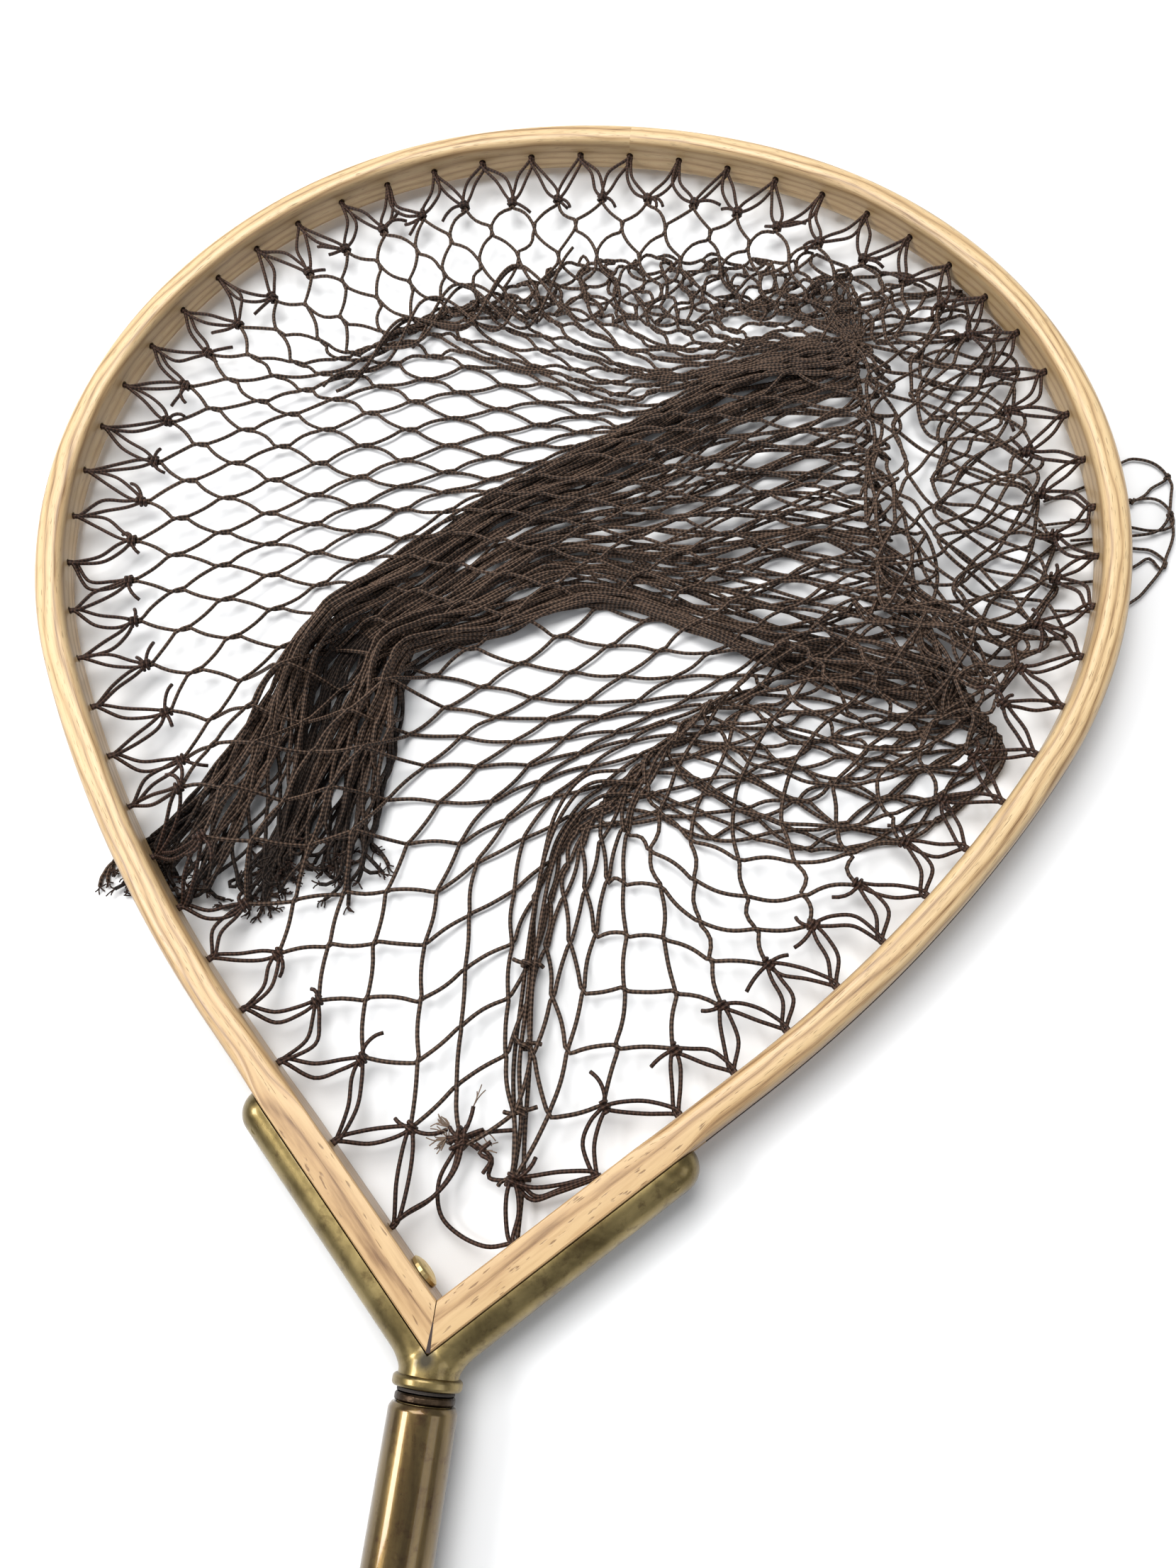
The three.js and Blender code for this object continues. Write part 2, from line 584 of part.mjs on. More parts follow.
place(handle, 'seat_washer', makeWasher(), fibre);
place(handle, 'threaded_ferrule', makeFerrule(), innerBrass);
place(handle, 'slide_tube', makeSlideTube(), innerBrass);
place(handle, 'stop_sleeve', makeStopSleeve(), innerBrass);
place(handle, 'stop_pin', crossRod(STOP_PIN_RADIUS, HANDLE_BORE - 2 * GAP, STOP_PIN_Y), steel);
place(handle, 'handle_tube', makeHandleTube(), tubeBrass);
place(handle, 'mouth_bush', makeMouthBush(), fibre);
place(handle, 'butt_cap', makeButtCap(), tubeBrass);
place(handle, 'butt_pin', crossRod(BUTT_PIN_RADIUS, HANDLE_RADIUS, BUTT_PIN_Y), innerBrass);

// The origin goes to the middle of the whole length, on the table.
const crown = alongBow(HALF_BOW, BOW_WIDTH / 2).point.y;
const butt = HANDLE_END - GAP - BUTT_LENGTH;
landingNet.position.y = -(crown + butt) / 2;
landingNet.updateMatrixWorld(true);

export default landingNet;
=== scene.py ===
"""A landing net lying on a pale table: an ash bow in a brass fork, a telescopic brass handle,
and a bag of brown knotless mesh that is folded, gathered and laid inside the bow.

Shapes are worked out in millimetres in the head's own axes: the bow's point is at x = 0, y = 0,
+Y runs to its crown and z = 0 is the table. place() takes them to the row frame, in metres.
"""
import math

import bmesh
import bpy
import numpy as np
from mathutils import Matrix, Vector


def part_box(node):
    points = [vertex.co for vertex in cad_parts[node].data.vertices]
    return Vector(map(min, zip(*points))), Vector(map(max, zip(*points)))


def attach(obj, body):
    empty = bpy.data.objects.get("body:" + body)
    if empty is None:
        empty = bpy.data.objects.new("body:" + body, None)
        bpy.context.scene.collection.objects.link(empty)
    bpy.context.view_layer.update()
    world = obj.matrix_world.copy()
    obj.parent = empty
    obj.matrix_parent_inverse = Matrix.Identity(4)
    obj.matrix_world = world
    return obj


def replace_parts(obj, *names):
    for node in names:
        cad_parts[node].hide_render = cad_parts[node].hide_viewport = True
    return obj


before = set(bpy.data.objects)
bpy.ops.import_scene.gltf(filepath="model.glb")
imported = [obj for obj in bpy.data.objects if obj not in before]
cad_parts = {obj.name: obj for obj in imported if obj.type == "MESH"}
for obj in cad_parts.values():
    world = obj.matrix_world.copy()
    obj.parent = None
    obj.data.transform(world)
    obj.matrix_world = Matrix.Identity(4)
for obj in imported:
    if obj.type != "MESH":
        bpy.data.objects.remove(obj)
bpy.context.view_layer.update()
MM = 0.001
UP = (0.0, 0.0, 1.0)
RNG = np.random.default_rng(16)

# ------------------------------------------------------------------ driving dimensions, mm
WOOD_LOW, WOOD_HIGH = (np.array(corner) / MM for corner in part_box("ash_bow"))
AXIS_Z = (WOOD_LOW[2] + WOOD_HIGH[2]) / 2
BOW_WIDTH = 11.0
BOW_DEPTH = WOOD_HIGH[2] - WOOD_LOW[2]
APEX_HALF_ANGLE = math.radians(46.25)
SIDE_RADIUS, SIDE_TURN = 517.0, math.radians(17.7)
SHOULDER_RADIUS, SHOULDER_TURN = 191.0, math.radians(101.3)
CROWN_RADIUS = 250.8
HOLE_PITCH = 22.96
HOLES_PER_SIDE = 26
ARM_HOLE_PITCH = 33.0
HOLE_RADIUS = 1.5
FORK_RADIUS = 8.4
FORK_ARM_END = 96.0
FORK_BEND = 23.6
GAP = 0.3                               # between the brass and the wood, and above the butt cap
CORD_CLEAR = 0.05                       # between the table and the lowest cords

ARCS = [(SIDE_RADIUS, SIDE_TURN), (SHOULDER_RADIUS, SHOULDER_TURN)]
ARCS.append((CROWN_RADIUS, math.pi / 2 + APEX_HALF_ANGLE - SIDE_TURN - SHOULDER_TURN))


def straight_length():
    """Length of each straight arm, so that the crown ends on the mid-line."""
    heading, x = APEX_HALF_ANGLE, 0.0
    for radius, turn in ARCS:
        x += radius * (math.cos(heading - turn) - math.cos(heading))
        heading -= turn
    return -x / math.sin(APEX_HALF_ANGLE)


STRAIGHT = straight_length()
HALF_BOW = STRAIGHT + sum(radius * turn for radius, turn in ARCS)


def along_bow(distance, outward=0.0):
    """x, y and heading at distances along the right half of the bow's centre line."""
    distance = np.asarray(distance, float)
    first = np.minimum(distance, STRAIGHT)
    x, y = first * math.sin(APEX_HALF_ANGLE), first * math.cos(APEX_HALF_ANGLE)
    left = np.maximum(distance - STRAIGHT, 0)
    heading = np.full(distance.shape, APEX_HALF_ANGLE)
    for i, (radius, turn) in enumerate(ARCS):
        angle = left / radius if i == len(ARCS) - 1 else np.minimum(left / radius, turn)
        x = x + radius * (np.cos(heading - angle) - np.cos(heading))
        y = y + radius * (np.sin(heading) - np.sin(heading - angle))
        heading = heading - angle
        left = left - angle * radius
    return x + outward * np.cos(heading), y - outward * np.sin(heading), heading


CROWN_Y = float(along_bow(HALF_BOW)[1])
POINT_Y = WOOD_HIGH[1] - BOW_WIDTH / 2 - CROWN_Y     # row frame y of the bow's point


def place(points):
    """Head axes in millimetres to the row frame in metres."""
    return (np.asarray(points, float) + [0, POINT_Y, 0]) * MM


def smoothstep(low, high, value):
    t = np.clip((np.asarray(value, float) - low) / (high - low), 0, 1)
    return t * t * (3 - 2 * t)


# ------------------------------------------------------------------ camera
CAMERA_PLACE = Vector((0.06586, -0.01162, 0.42647))
CAMERA_TURN = math.radians(14.9637)    # about +Z
CAMERA_TILT = math.radians(22.1530)     # from straight down
CAMERA_ROLL = math.radians(-7.8327)
CAMERA_LENS = 28.425                    # mm, as is the sensor's long side
CAMERA_SENSOR = 36
CAMERA_CLIP = (0.01, 20)


def make_camera():
    data = bpy.data.cameras.new("camera")
    data.sensor_width = CAMERA_SENSOR
    data.lens = CAMERA_LENS
    data.clip_start, data.clip_end = CAMERA_CLIP
    camera = bpy.data.objects.new("camera", data)
    bpy.context.scene.collection.objects.link(camera)
    turn = Matrix.Rotation(CAMERA_TURN, 4, "Z") @ Matrix.Rotation(CAMERA_TILT, 4, "X")
    camera.matrix_world = Matrix.Translation(CAMERA_PLACE) @ turn @ Matrix.Rotation(CAMERA_ROLL, 4, "Z")
    bpy.context.scene.camera = camera


make_camera()
bpy.context.scene.view_settings.view_transform = "Standard"


# ------------------------------------------------------------------ materials


class Nodes:
    """Short calls for building one material's node tree."""

    def __init__(self, name):
        self.material = bpy.data.materials.new(name)
        self.material.use_nodes = True
        self.tree = self.material.node_tree
        self.shader = self.tree.nodes["Principled BSDF"]

    def add(self, kind, inputs=(), **settings):
        node = self.tree.nodes.new("ShaderNode" + kind)
        for key, value in settings.items():
            setattr(node, key, value)
        for key, value in dict(inputs).items():
            self.set(node.inputs[key], value)
        return node

    def set(self, socket, value):
        if isinstance(value, bpy.types.NodeSocket):
            self.tree.links.new(value, socket)
        else:
            socket.default_value = value

    def principled(self, **inputs):
        for key, value in inputs.items():
            self.set(self.shader.inputs[key.replace("_", " ")], value)
        return self.material

    def math(self, operation, a, b=0.0):
        return self.add("Math", {0: a, 1: b}, operation=operation).outputs[0]

    def ramp(self, factor, stops):
        node = self.add("ValToRGB", {"Fac": factor})
        elements = node.color_ramp.elements
        while len(elements) < len(stops):
            elements.new(0.5)
        for element, (position, colour) in zip(elements, stops):
            element.position = position
            element.color = (*colour, 1)
        return node.outputs[0]

    def mix(self, factor, a, b, blend="MIX"):
        node = self.add("Mix", data_type="RGBA", blend_type=blend)
        self.set(node.inputs[0], factor)
        for socket, value in ((node.inputs[6], a), (node.inputs[7], b)):
            self.set(socket, value if isinstance(value, bpy.types.NodeSocket) else (*value, 1))
        return node.outputs[2]

    def noise(self, vector, scale, detail, roughness=0.5, distortion=0.0):
        return self.add("TexNoise", {"Vector": vector, "Scale": scale, "Detail": detail,
                                     "Roughness": roughness, "Distortion": distortion}).outputs[0]

    def scaled(self, vector, factors):
        return self.add("Mapping", {"Vector": vector, "Scale": factors}).outputs[0]

    def uv(self):
        return self.add("TexCoord").outputs["UV"]

    def place(self):
        return self.add("TexCoord").outputs["Object"]

    def bump(self, height, distance, strength=1.0):
        return self.add("Bump", {"Height": height, "Distance": distance, "Strength": strength}).outputs[0]

    def axis(self, vector, index):
        """One component of a vector."""
        return self.add("SeparateXYZ", {"Vector": vector}).outputs[index]

    def weigh(self, *terms, base=0.0):
        """A sum of values, each times its weight."""
        total = base
        for value, weight in terms:
            total = self.add("Math", {0: value, 1: weight, 2: total}, operation="MULTIPLY_ADD").outputs[0]
        return total

    def mask(self, value, start, end):
        """0 where the value is at start and 1 where it is at end."""
        return self.add("MapRange", {"Value": value, "From Min": start, "From Max": end}).outputs[0]


def ash_material():
    """Ash: grain lines along the bow, short dark pores, a warm oil finish, darker where it is handled, and
    painted shade on its upright walls.
    """
    n = Nodes("ash_wood")
    uv = n.uv()                                       # metres along and round the section
    wander = n.noise(n.scaled(uv, (7, 30, 1)), 1.0, 3)
    rings = n.math("SINE", n.weigh((n.axis(uv, 1), 1700), (wander, 30)))
    line = n.math("POWER", n.weigh((rings, 0.5), base=0.5), 0.55)
    fine = n.noise(n.scaled(uv, (60, 2400, 1)), 1.0, 4, 0.6)
    broad = n.noise(n.scaled(uv, (8, 90, 1)), 1.0, 3)
    colour = n.ramp(n.weigh((line, 0.34), (fine, 0.56), (broad, 0.48)), [
        (0.42, (0.20, 0.105, 0.042)), (0.57, (0.42, 0.27, 0.13)),
        (0.69, (0.575, 0.39, 0.20)), (0.89, (0.71, 0.525, 0.29))])
    pores = n.mask(n.noise(n.scaled(uv, (150, 3000, 1)), 1.0, 2, 0.5), 0.62, 0.68)
    pore = n.math("MULTIPLY", pores, n.math("GREATER_THAN", line, 0.55))
    colour = n.mix(n.math("MULTIPLY", pore, 0.7), colour, (0.17, 0.085, 0.03))
    # painted shade: the bow's upright inner and outer walls are darkened up to half way towards deep brown,
    # as if in shade
    upright = n.math("ABSOLUTE", n.axis(n.add("TexCoord").outputs["Normal"], 2))
    colour = n.mix(n.math("MULTIPLY", n.mask(upright, 0.85, 0.35), 0.5), colour, (0.30, 0.185, 0.085))
    handled = n.mask(n.axis(n.place(), 1), *(POINT_Y * MM + reach for reach in HANDLED))
    colour = n.mix(n.math("MULTIPLY", handled, 0.7), colour, (0.82, 0.72, 0.62), "MULTIPLY")
    height = n.math("SUBTRACT", n.math("MULTIPLY", fine, 0.4), pore)
    return n.principled(Base_Color=colour, Roughness=n.weigh((n.mask(fine, 0.3, 0.7), 0.16), base=0.34),
                        Coat_Weight=0.2, Coat_Roughness=0.3, Normal=n.bump(height, 0.00012, 0.6))


def brass_material(name, dark, light, patina, streak=(90, 90, 90), shine=(0.2, 0.42), patina_share=0.5,
                   lacquer=0.0, smudge=None):
    """Handled brass: uneven tone, patches of patina, fine scratches, and dark oxide at the smudge."""
    n = Nodes(name)
    at = n.place()
    broad = n.noise(n.scaled(at, streak), 1.0, 6, 0.6, 0.4)
    fine = n.noise(at, 900, 3)
    scratch = n.noise(n.scaled(at, (2500, 90, 2500)), 1.0, 2)
    spots = n.mask(n.noise(at, 210, 5, 0.65), patina_share, patina_share + 0.2)
    colour = n.mix(n.math("MULTIPLY", spots, 0.75), n.ramp(broad, [(0.32, dark), (0.66, light)]), patina)
    metal, coat, oxide = 1.0, lacquer, 0.0
    if smudge:
        away = n.add("VectorMath", {0: at, 1: smudge}, operation="DISTANCE").outputs["Value"]
        oxide = n.mask(n.weigh((away, 1 / SMUDGE_REACH), (broad, 0.6)), 0.95, 0.55)
        colour = n.mix(n.math("MULTIPLY", oxide, 0.85), colour, (0.03, 0.027, 0.022))
        metal = n.weigh((oxide, -0.6), base=1.0)
        coat = n.weigh((oxide, -lacquer), base=lacquer)
    rough = n.weigh((broad, shine[1] - shine[0]), (fine, 0.12), (oxide, 0.35), base=shine[0])
    height = n.weigh((scratch, 0.5), (fine, 0.3))
    return n.principled(Base_Color=colour, Metallic=metal, Roughness=rough, Coat_Weight=coat,
                        Coat_Roughness=0.05, Normal=n.bump(height, 0.00006, 0.4))


def braid_material(name, dark, light, pitch=0.0034, depth=0.0005, pile=None):
    """Braided twine: two sets of yarns crossing round the cord; u is metres along, v once round.
    In a pile as high as given, the cords in its middle get painted shade and are the darkest."""
    n = Nodes(name)
    turns = n.math("MULTIPLY", n.axis(n.uv(), 0), 2 * math.pi / pitch)
    round_it = n.math("MULTIPLY", n.axis(n.uv(), 1), 4 * math.pi)
    one = n.math("SINE", n.math("ADD", turns, round_it))
    two = n.math("SINE", n.math("SUBTRACT", turns, round_it))
    weave = n.weigh((n.math("MULTIPLY", one, two), 0.5), base=0.5)
    fuzz, patch = n.noise(n.place(), 1100, 2), n.noise(n.place(), 55, 3)
    # the weave term paints the yarn crests light and the valleys between them dark: painted highlight and
    # painted shade on the braid's relief; fuzz and patch are the twine's own uneven tone
    colour = n.ramp(n.weigh((weave, 0.62), (fuzz, 0.3), (patch, 0.35)), [(0.42, dark), (0.95, light)])
    # painted shade: cords half way up the pile are darkened, as if shaded by the cords above them
    if pile:
        level = n.math("DIVIDE", n.axis(n.place(), 2), pile)
        painted_pile_shade = n.math("MULTIPLY", n.mask(level, 0.14, 0.26), n.mask(level, 1.0, 0.5))
        colour = n.mix(n.math("MULTIPLY", painted_pile_shade, 0.8), colour, tuple(0.6 * c for c in dark))
    return n.principled(Base_Color=colour, Roughness=0.55, Specular_IOR_Level=0.3,
                        Normal=n.bump(weave, depth))


def plain_material(name, colour, roughness, metallic, grain=600, depth=0.00004):
    """One colour, slightly mottled, with a fine grain."""
    n = Nodes(name)
    spread = n.noise(n.place(), grain, 4)
    tone = n.mix(spread, tuple(c * 0.8 for c in colour), tuple(min(1, c * 1.15) for c in colour))
    return n.principled(Base_Color=tone, Metallic=metallic, Normal=n.bump(spread, depth, 0.4),
                        Roughness=n.weigh((spread, 0.15), base=roughness - 0.07))


SMUDGE_REACH = 0.0058                   # metres, of the dark oxide at the fork's root
SMUDGE_PLACE = (0, (POINT_Y - 9.2) * MM, 0.0205)
HANDLED = (0.16, 0.056)                 # metres from the point, of wood just darkened and darkest
TWINE_TONES = (0.008, 0.0045, 0.0035), (0.15, 0.093, 0.063)
ASH = ash_material()
FORK_BRASS = brass_material("fork_brass", (0.15, 0.108, 0.040), (0.335, 0.255, 0.108), (0.08, 0.048, 0.02),
                            streak=(60, 60, 60), patina_share=0.52, lacquer=0.3, smudge=SMUDGE_PLACE)
TUBE_BRASS = brass_material("tube_brass", (0.10, 0.062, 0.023), (0.215, 0.15, 0.06), (0.07, 0.03, 0.016),
                            streak=(120, 22, 120), shine=(0.15, 0.37), patina_share=0.54, lacquer=0.6)
DARK_BRASS = brass_material("dark_brass", (0.022, 0.014, 0.010), (0.085, 0.058, 0.036), (0.03, 0.02, 0.014))
GLUE = plain_material("glue", (0.030, 0.012, 0.008), 0.5, 0.0, 900, 0.0001)
INNER_BRASS = brass_material("inner_brass", (0.55, 0.40, 0.17), (0.76, 0.60, 0.29), (0.32, 0.2, 0.08),
                             patina_share=0.6)
STEEL = plain_material("steel", (0.46, 0.46, 0.45), 0.32, 1.0)
FIBRE = plain_material("fibre", (0.035, 0.027, 0.022), 0.8, 0.0, 1400, 0.0001)
TWINE = braid_material("mesh_twine", *TWINE_TONES)
# the tail's twine has painted shade in the middle of its pile, which is 10 mm high
TAIL_TWINE = braid_material("tail_twine", *TWINE_TONES, pile=0.010)
TIE_CORD = braid_material("tie_cord", (0.010, 0.005, 0.004), (0.085, 0.043, 0.028), 0.003, 0.0003)
TUFT = plain_material("cord_fibre", (0.20, 0.14, 0.10), 0.8, 0.0, 1400, 0.00005)


# ------------------------------------------------------------------ mesh helpers


def face_outward(made, weld=0.0):
    """Faces all of a mesh outwards, with corners that are closer than weld joined first."""
    mesh = bmesh.new()
    mesh.from_mesh(made.data)
    if weld:
        bmesh.ops.remove_doubles(mesh, verts=mesh.verts, dist=weld)
    bmesh.ops.recalc_face_normals(mesh, faces=mesh.faces)
    mesh.to_mesh(made.data)
    mesh.free()


def turn_outward(mesh):
    """Reverses the faces of a closed mesh that are wound inwards."""
    work = bmesh.new()
    work.from_mesh(mesh)
    inside_out = work.calc_volume(signed=True) < 0
    work.free()
    if inside_out:
        mesh.flip_normals()


def shade(mesh, sharp):
    """Smooth shading, but for edges that bend by more than the sharp angle."""
    mesh.shade_smooth()
    if sharp is not None:
        mesh.set_sharp_from_angle(angle=sharp)


def piece(name, points, faces, material, body=None, uvs=None, sharp=None):
    """A new mesh from points in millimetres in the head's axes."""
    mesh = bpy.data.meshes.new(name)
    mesh.from_pydata([tuple(p) for p in place(points)], [], [tuple(f) for f in faces])
    if uvs is not None:
        layer = mesh.uv_layers.new(name="UVMap")
        layer.data.foreach_set("uv", np.asarray(uvs, np.float32).ravel())
    mesh.materials.append(material)
    shade(mesh, sharp)
    made = bpy.data.objects.new(name, mesh)
    bpy.context.scene.collection.objects.link(made)
    if body:
        turn_outward(mesh)
        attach(made, body)
    return made


def quad_grid(rows, columns, offset=0):
    """Faces joining consecutive rings of points."""
    i, j = np.meshgrid(np.arange(rows - 1), np.arange(columns), indexing="ij")
    a, b = i * columns + j, i * columns + (j + 1) % columns
    return offset + np.stack([a, b, b + columns, a + columns], -1).reshape(-1, 4)


def grid_uvs(along, around):
    """UVs of quad_grid's faces, from the place of each ring and of each corner round it."""
    u0, v0 = np.meshgrid(along[:-1], around[:-1], indexing="ij")
    u1, v1 = np.meshgrid(along[1:], around[1:], indexing="ij")
    corners = [np.stack(corner, -1) for corner in ((u0, v0), (u0, v1), (u1, v1), (u1, v0))]
    return np.stack(corners, 2).reshape(-1, 4, 2)


def running_length(points):
    """Distance along a line to each of its points."""
    return np.concatenate([[0], np.cumsum(np.linalg.norm(np.diff(points, axis=0), axis=1))])


def round_angles(sides):
    return np.arange(sides) * 2 * math.pi / sides


def lathe(profile, sides):
    """A ring of points about the handle's axis for each [radius, y] point."""
    return [(r * math.cos(a), y, r * math.sin(a) + AXIS_Z) for r, y in profile for a in round_angles(sides)]


def prism(name, outline, low, high, material, body=None, sharp=None):
    """An upright block on an outline of [x, y] corners, given anticlockwise."""
    count = len(outline)
    points = [(x, y, z) for z in (low, high) for x, y in outline]
    ends = [tuple(range(count))[::-1], tuple(range(count, 2 * count))]
    sides = [(i, (i + 1) % count, count + (i + 1) % count, count + i) for i in range(count)]
    return piece(name, points, ends + sides, material, body, sharp=sharp)


def turned(name, profile, material, body, sides=96):
    """A piece turned about the handle's axis from [radius, y] points, with rounded shading."""
    return piece(name, lathe(profile, sides), quad_grid(len(profile), sides), material, body,
                 sharp=math.radians(28))


def fillet(profile, radius, steps=4):
    """Rounds the inner corners of a [radius, y] outline."""
    points = [np.array(p, float) for p in profile]
    made = [points[0]]
    for before, corner, after in zip(points, points[1:], points[2:]):
        a, b = before - corner, after - corner
        reach = min(radius, np.linalg.norm(a) * 0.45, np.linalg.norm(b) * 0.45)
        start, end = corner + a / np.linalg.norm(a) * reach, corner + b / np.linalg.norm(b) * reach
        for t in np.linspace(0, 1, steps + 1):
            made.append((1 - t) ** 2 * start + 2 * t * (1 - t) * corner + t * t * end)
    made.append(points[-1])
    return made


def applied(made, modifiers):
    """Works these modifiers into the object's mesh."""
    for kind, settings in modifiers:
        modifier = made.modifiers.new(kind.lower(), kind)
        for key, value in settings.items():
            setattr(modifier, key, value)
    graph = bpy.context.evaluated_depsgraph_get()
    mesh = bpy.data.meshes.new_from_object(made.evaluated_get(graph))
    made.modifiers.clear()
    made.data = mesh


def cut(made, cutter, solver):
    """Takes one object out of another."""
    applied(made, [("BOOLEAN", {"operation": "DIFFERENCE", "object": cutter, "solver": solver})])
    bpy.data.objects.remove(cutter)


# ------------------------------------------------------------------ ash bow
GROOVE_WIDTH = 3.6
GROOVE_DEPTH = 2.4
CHIP_START, CHIP_END = 77.0, 97.0       # where the inner edges' rounding runs out on the arms
BOW_STEP = 1.6                          # between two sections
MITRE_GAP = 0.3
MITRE_FADE = 12.0                       # how far up an arm its sections lean with the mitre
GRAIN_SHIFT = 3.7                       # metres, so that the two arms' grain differs
GROOVE_CORD_RADIUS = 1.2
WELD = 0.05 * MM
HOLE_SIDES = 14
DRILL_ENDS = (-BOW_WIDTH, BOW_WIDTH * 0.35)


def arc_points(centre_out, centre_up, radius, start, steps=6):
    angles = start + np.linspace(0, math.pi / 2, steps)
    radius = np.asarray(radius, float)[:, None]
    return np.stack([centre_out[:, None] + radius * np.cos(angles),
                     centre_up[:, None] + radius * np.sin(angles)], -1)


def bow_sections(distance):
    """The wood's section at each distance as [outward, height] points about its centre line."""
    half, top = BOW_WIDTH / 2, BOW_DEPTH / 2
    inner = 0.7 + 2.7 * smoothstep(CHIP_START, CHIP_END, distance)
    outer = 0.8 + 3.6 * smoothstep(FORK_ARM_END - 10, FORK_ARM_END + 14, distance)
    full = np.ones_like(distance)

    def run(out0, up0, out1, up1, steps):
        t = (np.arange(steps) + 1) / (steps + 1)
        return np.stack([np.outer(full, out0 + (out1 - out0) * t), np.outer(full, up0 + (up1 - up0) * t)], -1)

    groove = GROOVE_WIDTH / 2
    parts = [
        run(half, groove, half, top - 4.4, 1),
        arc_points(half * full - outer, top * full - outer, outer, 0),
        run(half - 4.4, top, -half + 3.4, top, 2),
        arc_points(-half * full + inner, top * full - inner, inner, math.pi / 2),
        run(-half, top - 3.4, -half, -top + 3.4, 6),
        arc_points(-half * full + inner, -top * full + inner, inner, math.pi),
        run(-half + 3.4, -top, half - 4.4, -top, 2),
        arc_points(half * full - outer, -top * full + outer, outer, 1.5 * math.pi),
        run(half, -top + 4.4, half, -groove, 1),
    ]
    corners = [(half, -groove), (half - 0.3, -groove), (half - GROOVE_DEPTH, -groove),
               (half - GROOVE_DEPTH, groove), (half - 0.3, groove), (half, groove)]
    parts.append(np.stack([np.stack([full * out, full * up], -1) for out, up in corners], 1))
    return np.concatenate(parts, 1)


def half_bow(side):
    """Points, faces, UVs and the end face at the point of one half of the bow, cut to a mitre there."""
    count = int(HALF_BOW / BOW_STEP)
    distance = np.linspace(0, HALF_BOW, count)
    sections = bow_sections(distance)
    columns = sections.shape[1]
    out, height = sections[..., 0], sections[..., 1]
    at = np.repeat(distance[:, None], columns, 1)
    mitre = (MITRE_GAP / 2 - out * math.cos(APEX_HALF_ANGLE)) / math.sin(APEX_HALF_ANGLE)
    at = at + mitre[0] * (1 - smoothstep(0, MITRE_FADE, at))
    x, y, _ = along_bow(np.maximum(at, 0), out)
    back = np.minimum(at, 0)
    x, y = x + back * math.sin(APEX_HALF_ANGLE), y + back * math.cos(APEX_HALF_ANGLE)
    points = np.stack([side * x, y, height + AXIS_Z], -1).reshape(-1, 3)
    middle = sections[count // 2]
    around = running_length(np.concatenate([middle, middle[:1]])) * MM
    faces, end = quad_grid(count, columns), np.arange(columns)
    uvs = grid_uvs(distance * MM + (0.0 if side > 0 else GRAIN_SHIFT), around)
    if side > 0:
        faces, uvs = faces[:, ::-1], uvs[:, ::-1]
    return points, faces, uvs.reshape(-1, 2), end if side > 0 else end[::-1]


def hole_distances():
    """Distances along one half of the bow of its drilled holes, from the crown to the point."""
    round_bow = [HALF_BOW - i * HOLE_PITCH for i in range(HOLES_PER_SIDE + 1)]
    return np.array(round_bow + [2 * ARM_HOLE_PITCH, ARM_HOLE_PITCH])


def make_bow():
    """Both halves of the bow, welded at the crown, with its holes drilled."""
    points, faces, uvs, offset = [], [], [], 0
    for side in (1, -1):
        half, half_faces, half_uvs, end = half_bow(side)
        points.append(half)
        faces += (half_faces + offset).tolist() + [(end + offset).tolist()]
        uvs += [half_uvs, np.zeros((len(end), 2))]
        offset += len(half)
    bow = piece("bow", np.concatenate(points), faces, ASH, uvs=np.concatenate(uvs))
    face_outward(bow, WELD)
    drills, faces = [], []
    for side in (1, -1):
        for distance in hole_distances()[0 if side > 0 else 1:]:
            near = len(drills)
            for out in DRILL_ENDS:
                x, y, heading = along_bow(distance, out)
                for angle in round_angles(HOLE_SIDES):
                    shift = HOLE_RADIUS * math.cos(angle)
                    drills.append((side * (x + math.sin(heading) * shift), y + math.cos(heading) * shift,
                                   AXIS_Z + HOLE_RADIUS * math.sin(angle)))
            far = near + HOLE_SIDES
            faces += quad_grid(2, HOLE_SIDES, near).tolist()
            faces += [list(range(near, far)), list(range(far, far + HOLE_SIDES))]
    drill = piece("drill", drills, faces, ASH)
    face_outward(drill)
    cut(bow, drill, "FAST")
    shade(bow.data, math.radians(32))
    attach(bow, "head")
    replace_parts(bow, "ash_bow")


make_bow()


# ------------------------------------------------------------------ swept cords


def swept(lines, radius, sides):
    """Points, faces and UVs of round cords along lines, closed at both ends."""
    points, quads, caps, uvs, first = [], [], [], [], 0
    angles = round_angles(sides)
    for line in lines:
        tangent = np.gradient(line, axis=0)
        tangent /= np.linalg.norm(tangent, axis=1)[:, None] + 1e-9
        side = np.cross(tangent, UP)
        side[np.linalg.norm(side, axis=1) < 0.05] = [1.0, 0.0, 0.0]
        side /= np.linalg.norm(side, axis=1)[:, None]
        for i in range(1, len(side)):
            if side[i] @ side[i - 1] < 0:
                side[i] = -side[i]
        up = np.cross(side, tangent)
        ring = side[:, None] * np.cos(angles)[None, :, None] + up[:, None] * np.sin(angles)[None, :, None]
        points.append((line[:, None] + ring * radius).reshape(-1, 3))
        quads.append(quad_grid(len(line), sides, first))
        uvs.append(grid_uvs(running_length(line) * MM, np.arange(sides + 1) / sides).reshape(-1, 2))
        last = first + (len(line) - 1) * sides
        caps += [list(range(first, first + sides))[::-1], list(range(last, last + sides))]
        first = last + sides
    uvs.append(np.zeros((len(caps) * sides, 2)))
    return np.concatenate(points), np.concatenate(quads).tolist() + caps, np.concatenate(uvs)


def cords(name, lines, radius, material, sides):
    """Round cords along lines, none of them lower than the table."""
    lines = [np.column_stack([line[:, :2], np.maximum(line[:, 2], radius + CORD_CLEAR)]) for line in lines]
    points, faces, uvs = swept(lines, radius, sides)
    return piece(name, points, faces, material, "head", uvs)


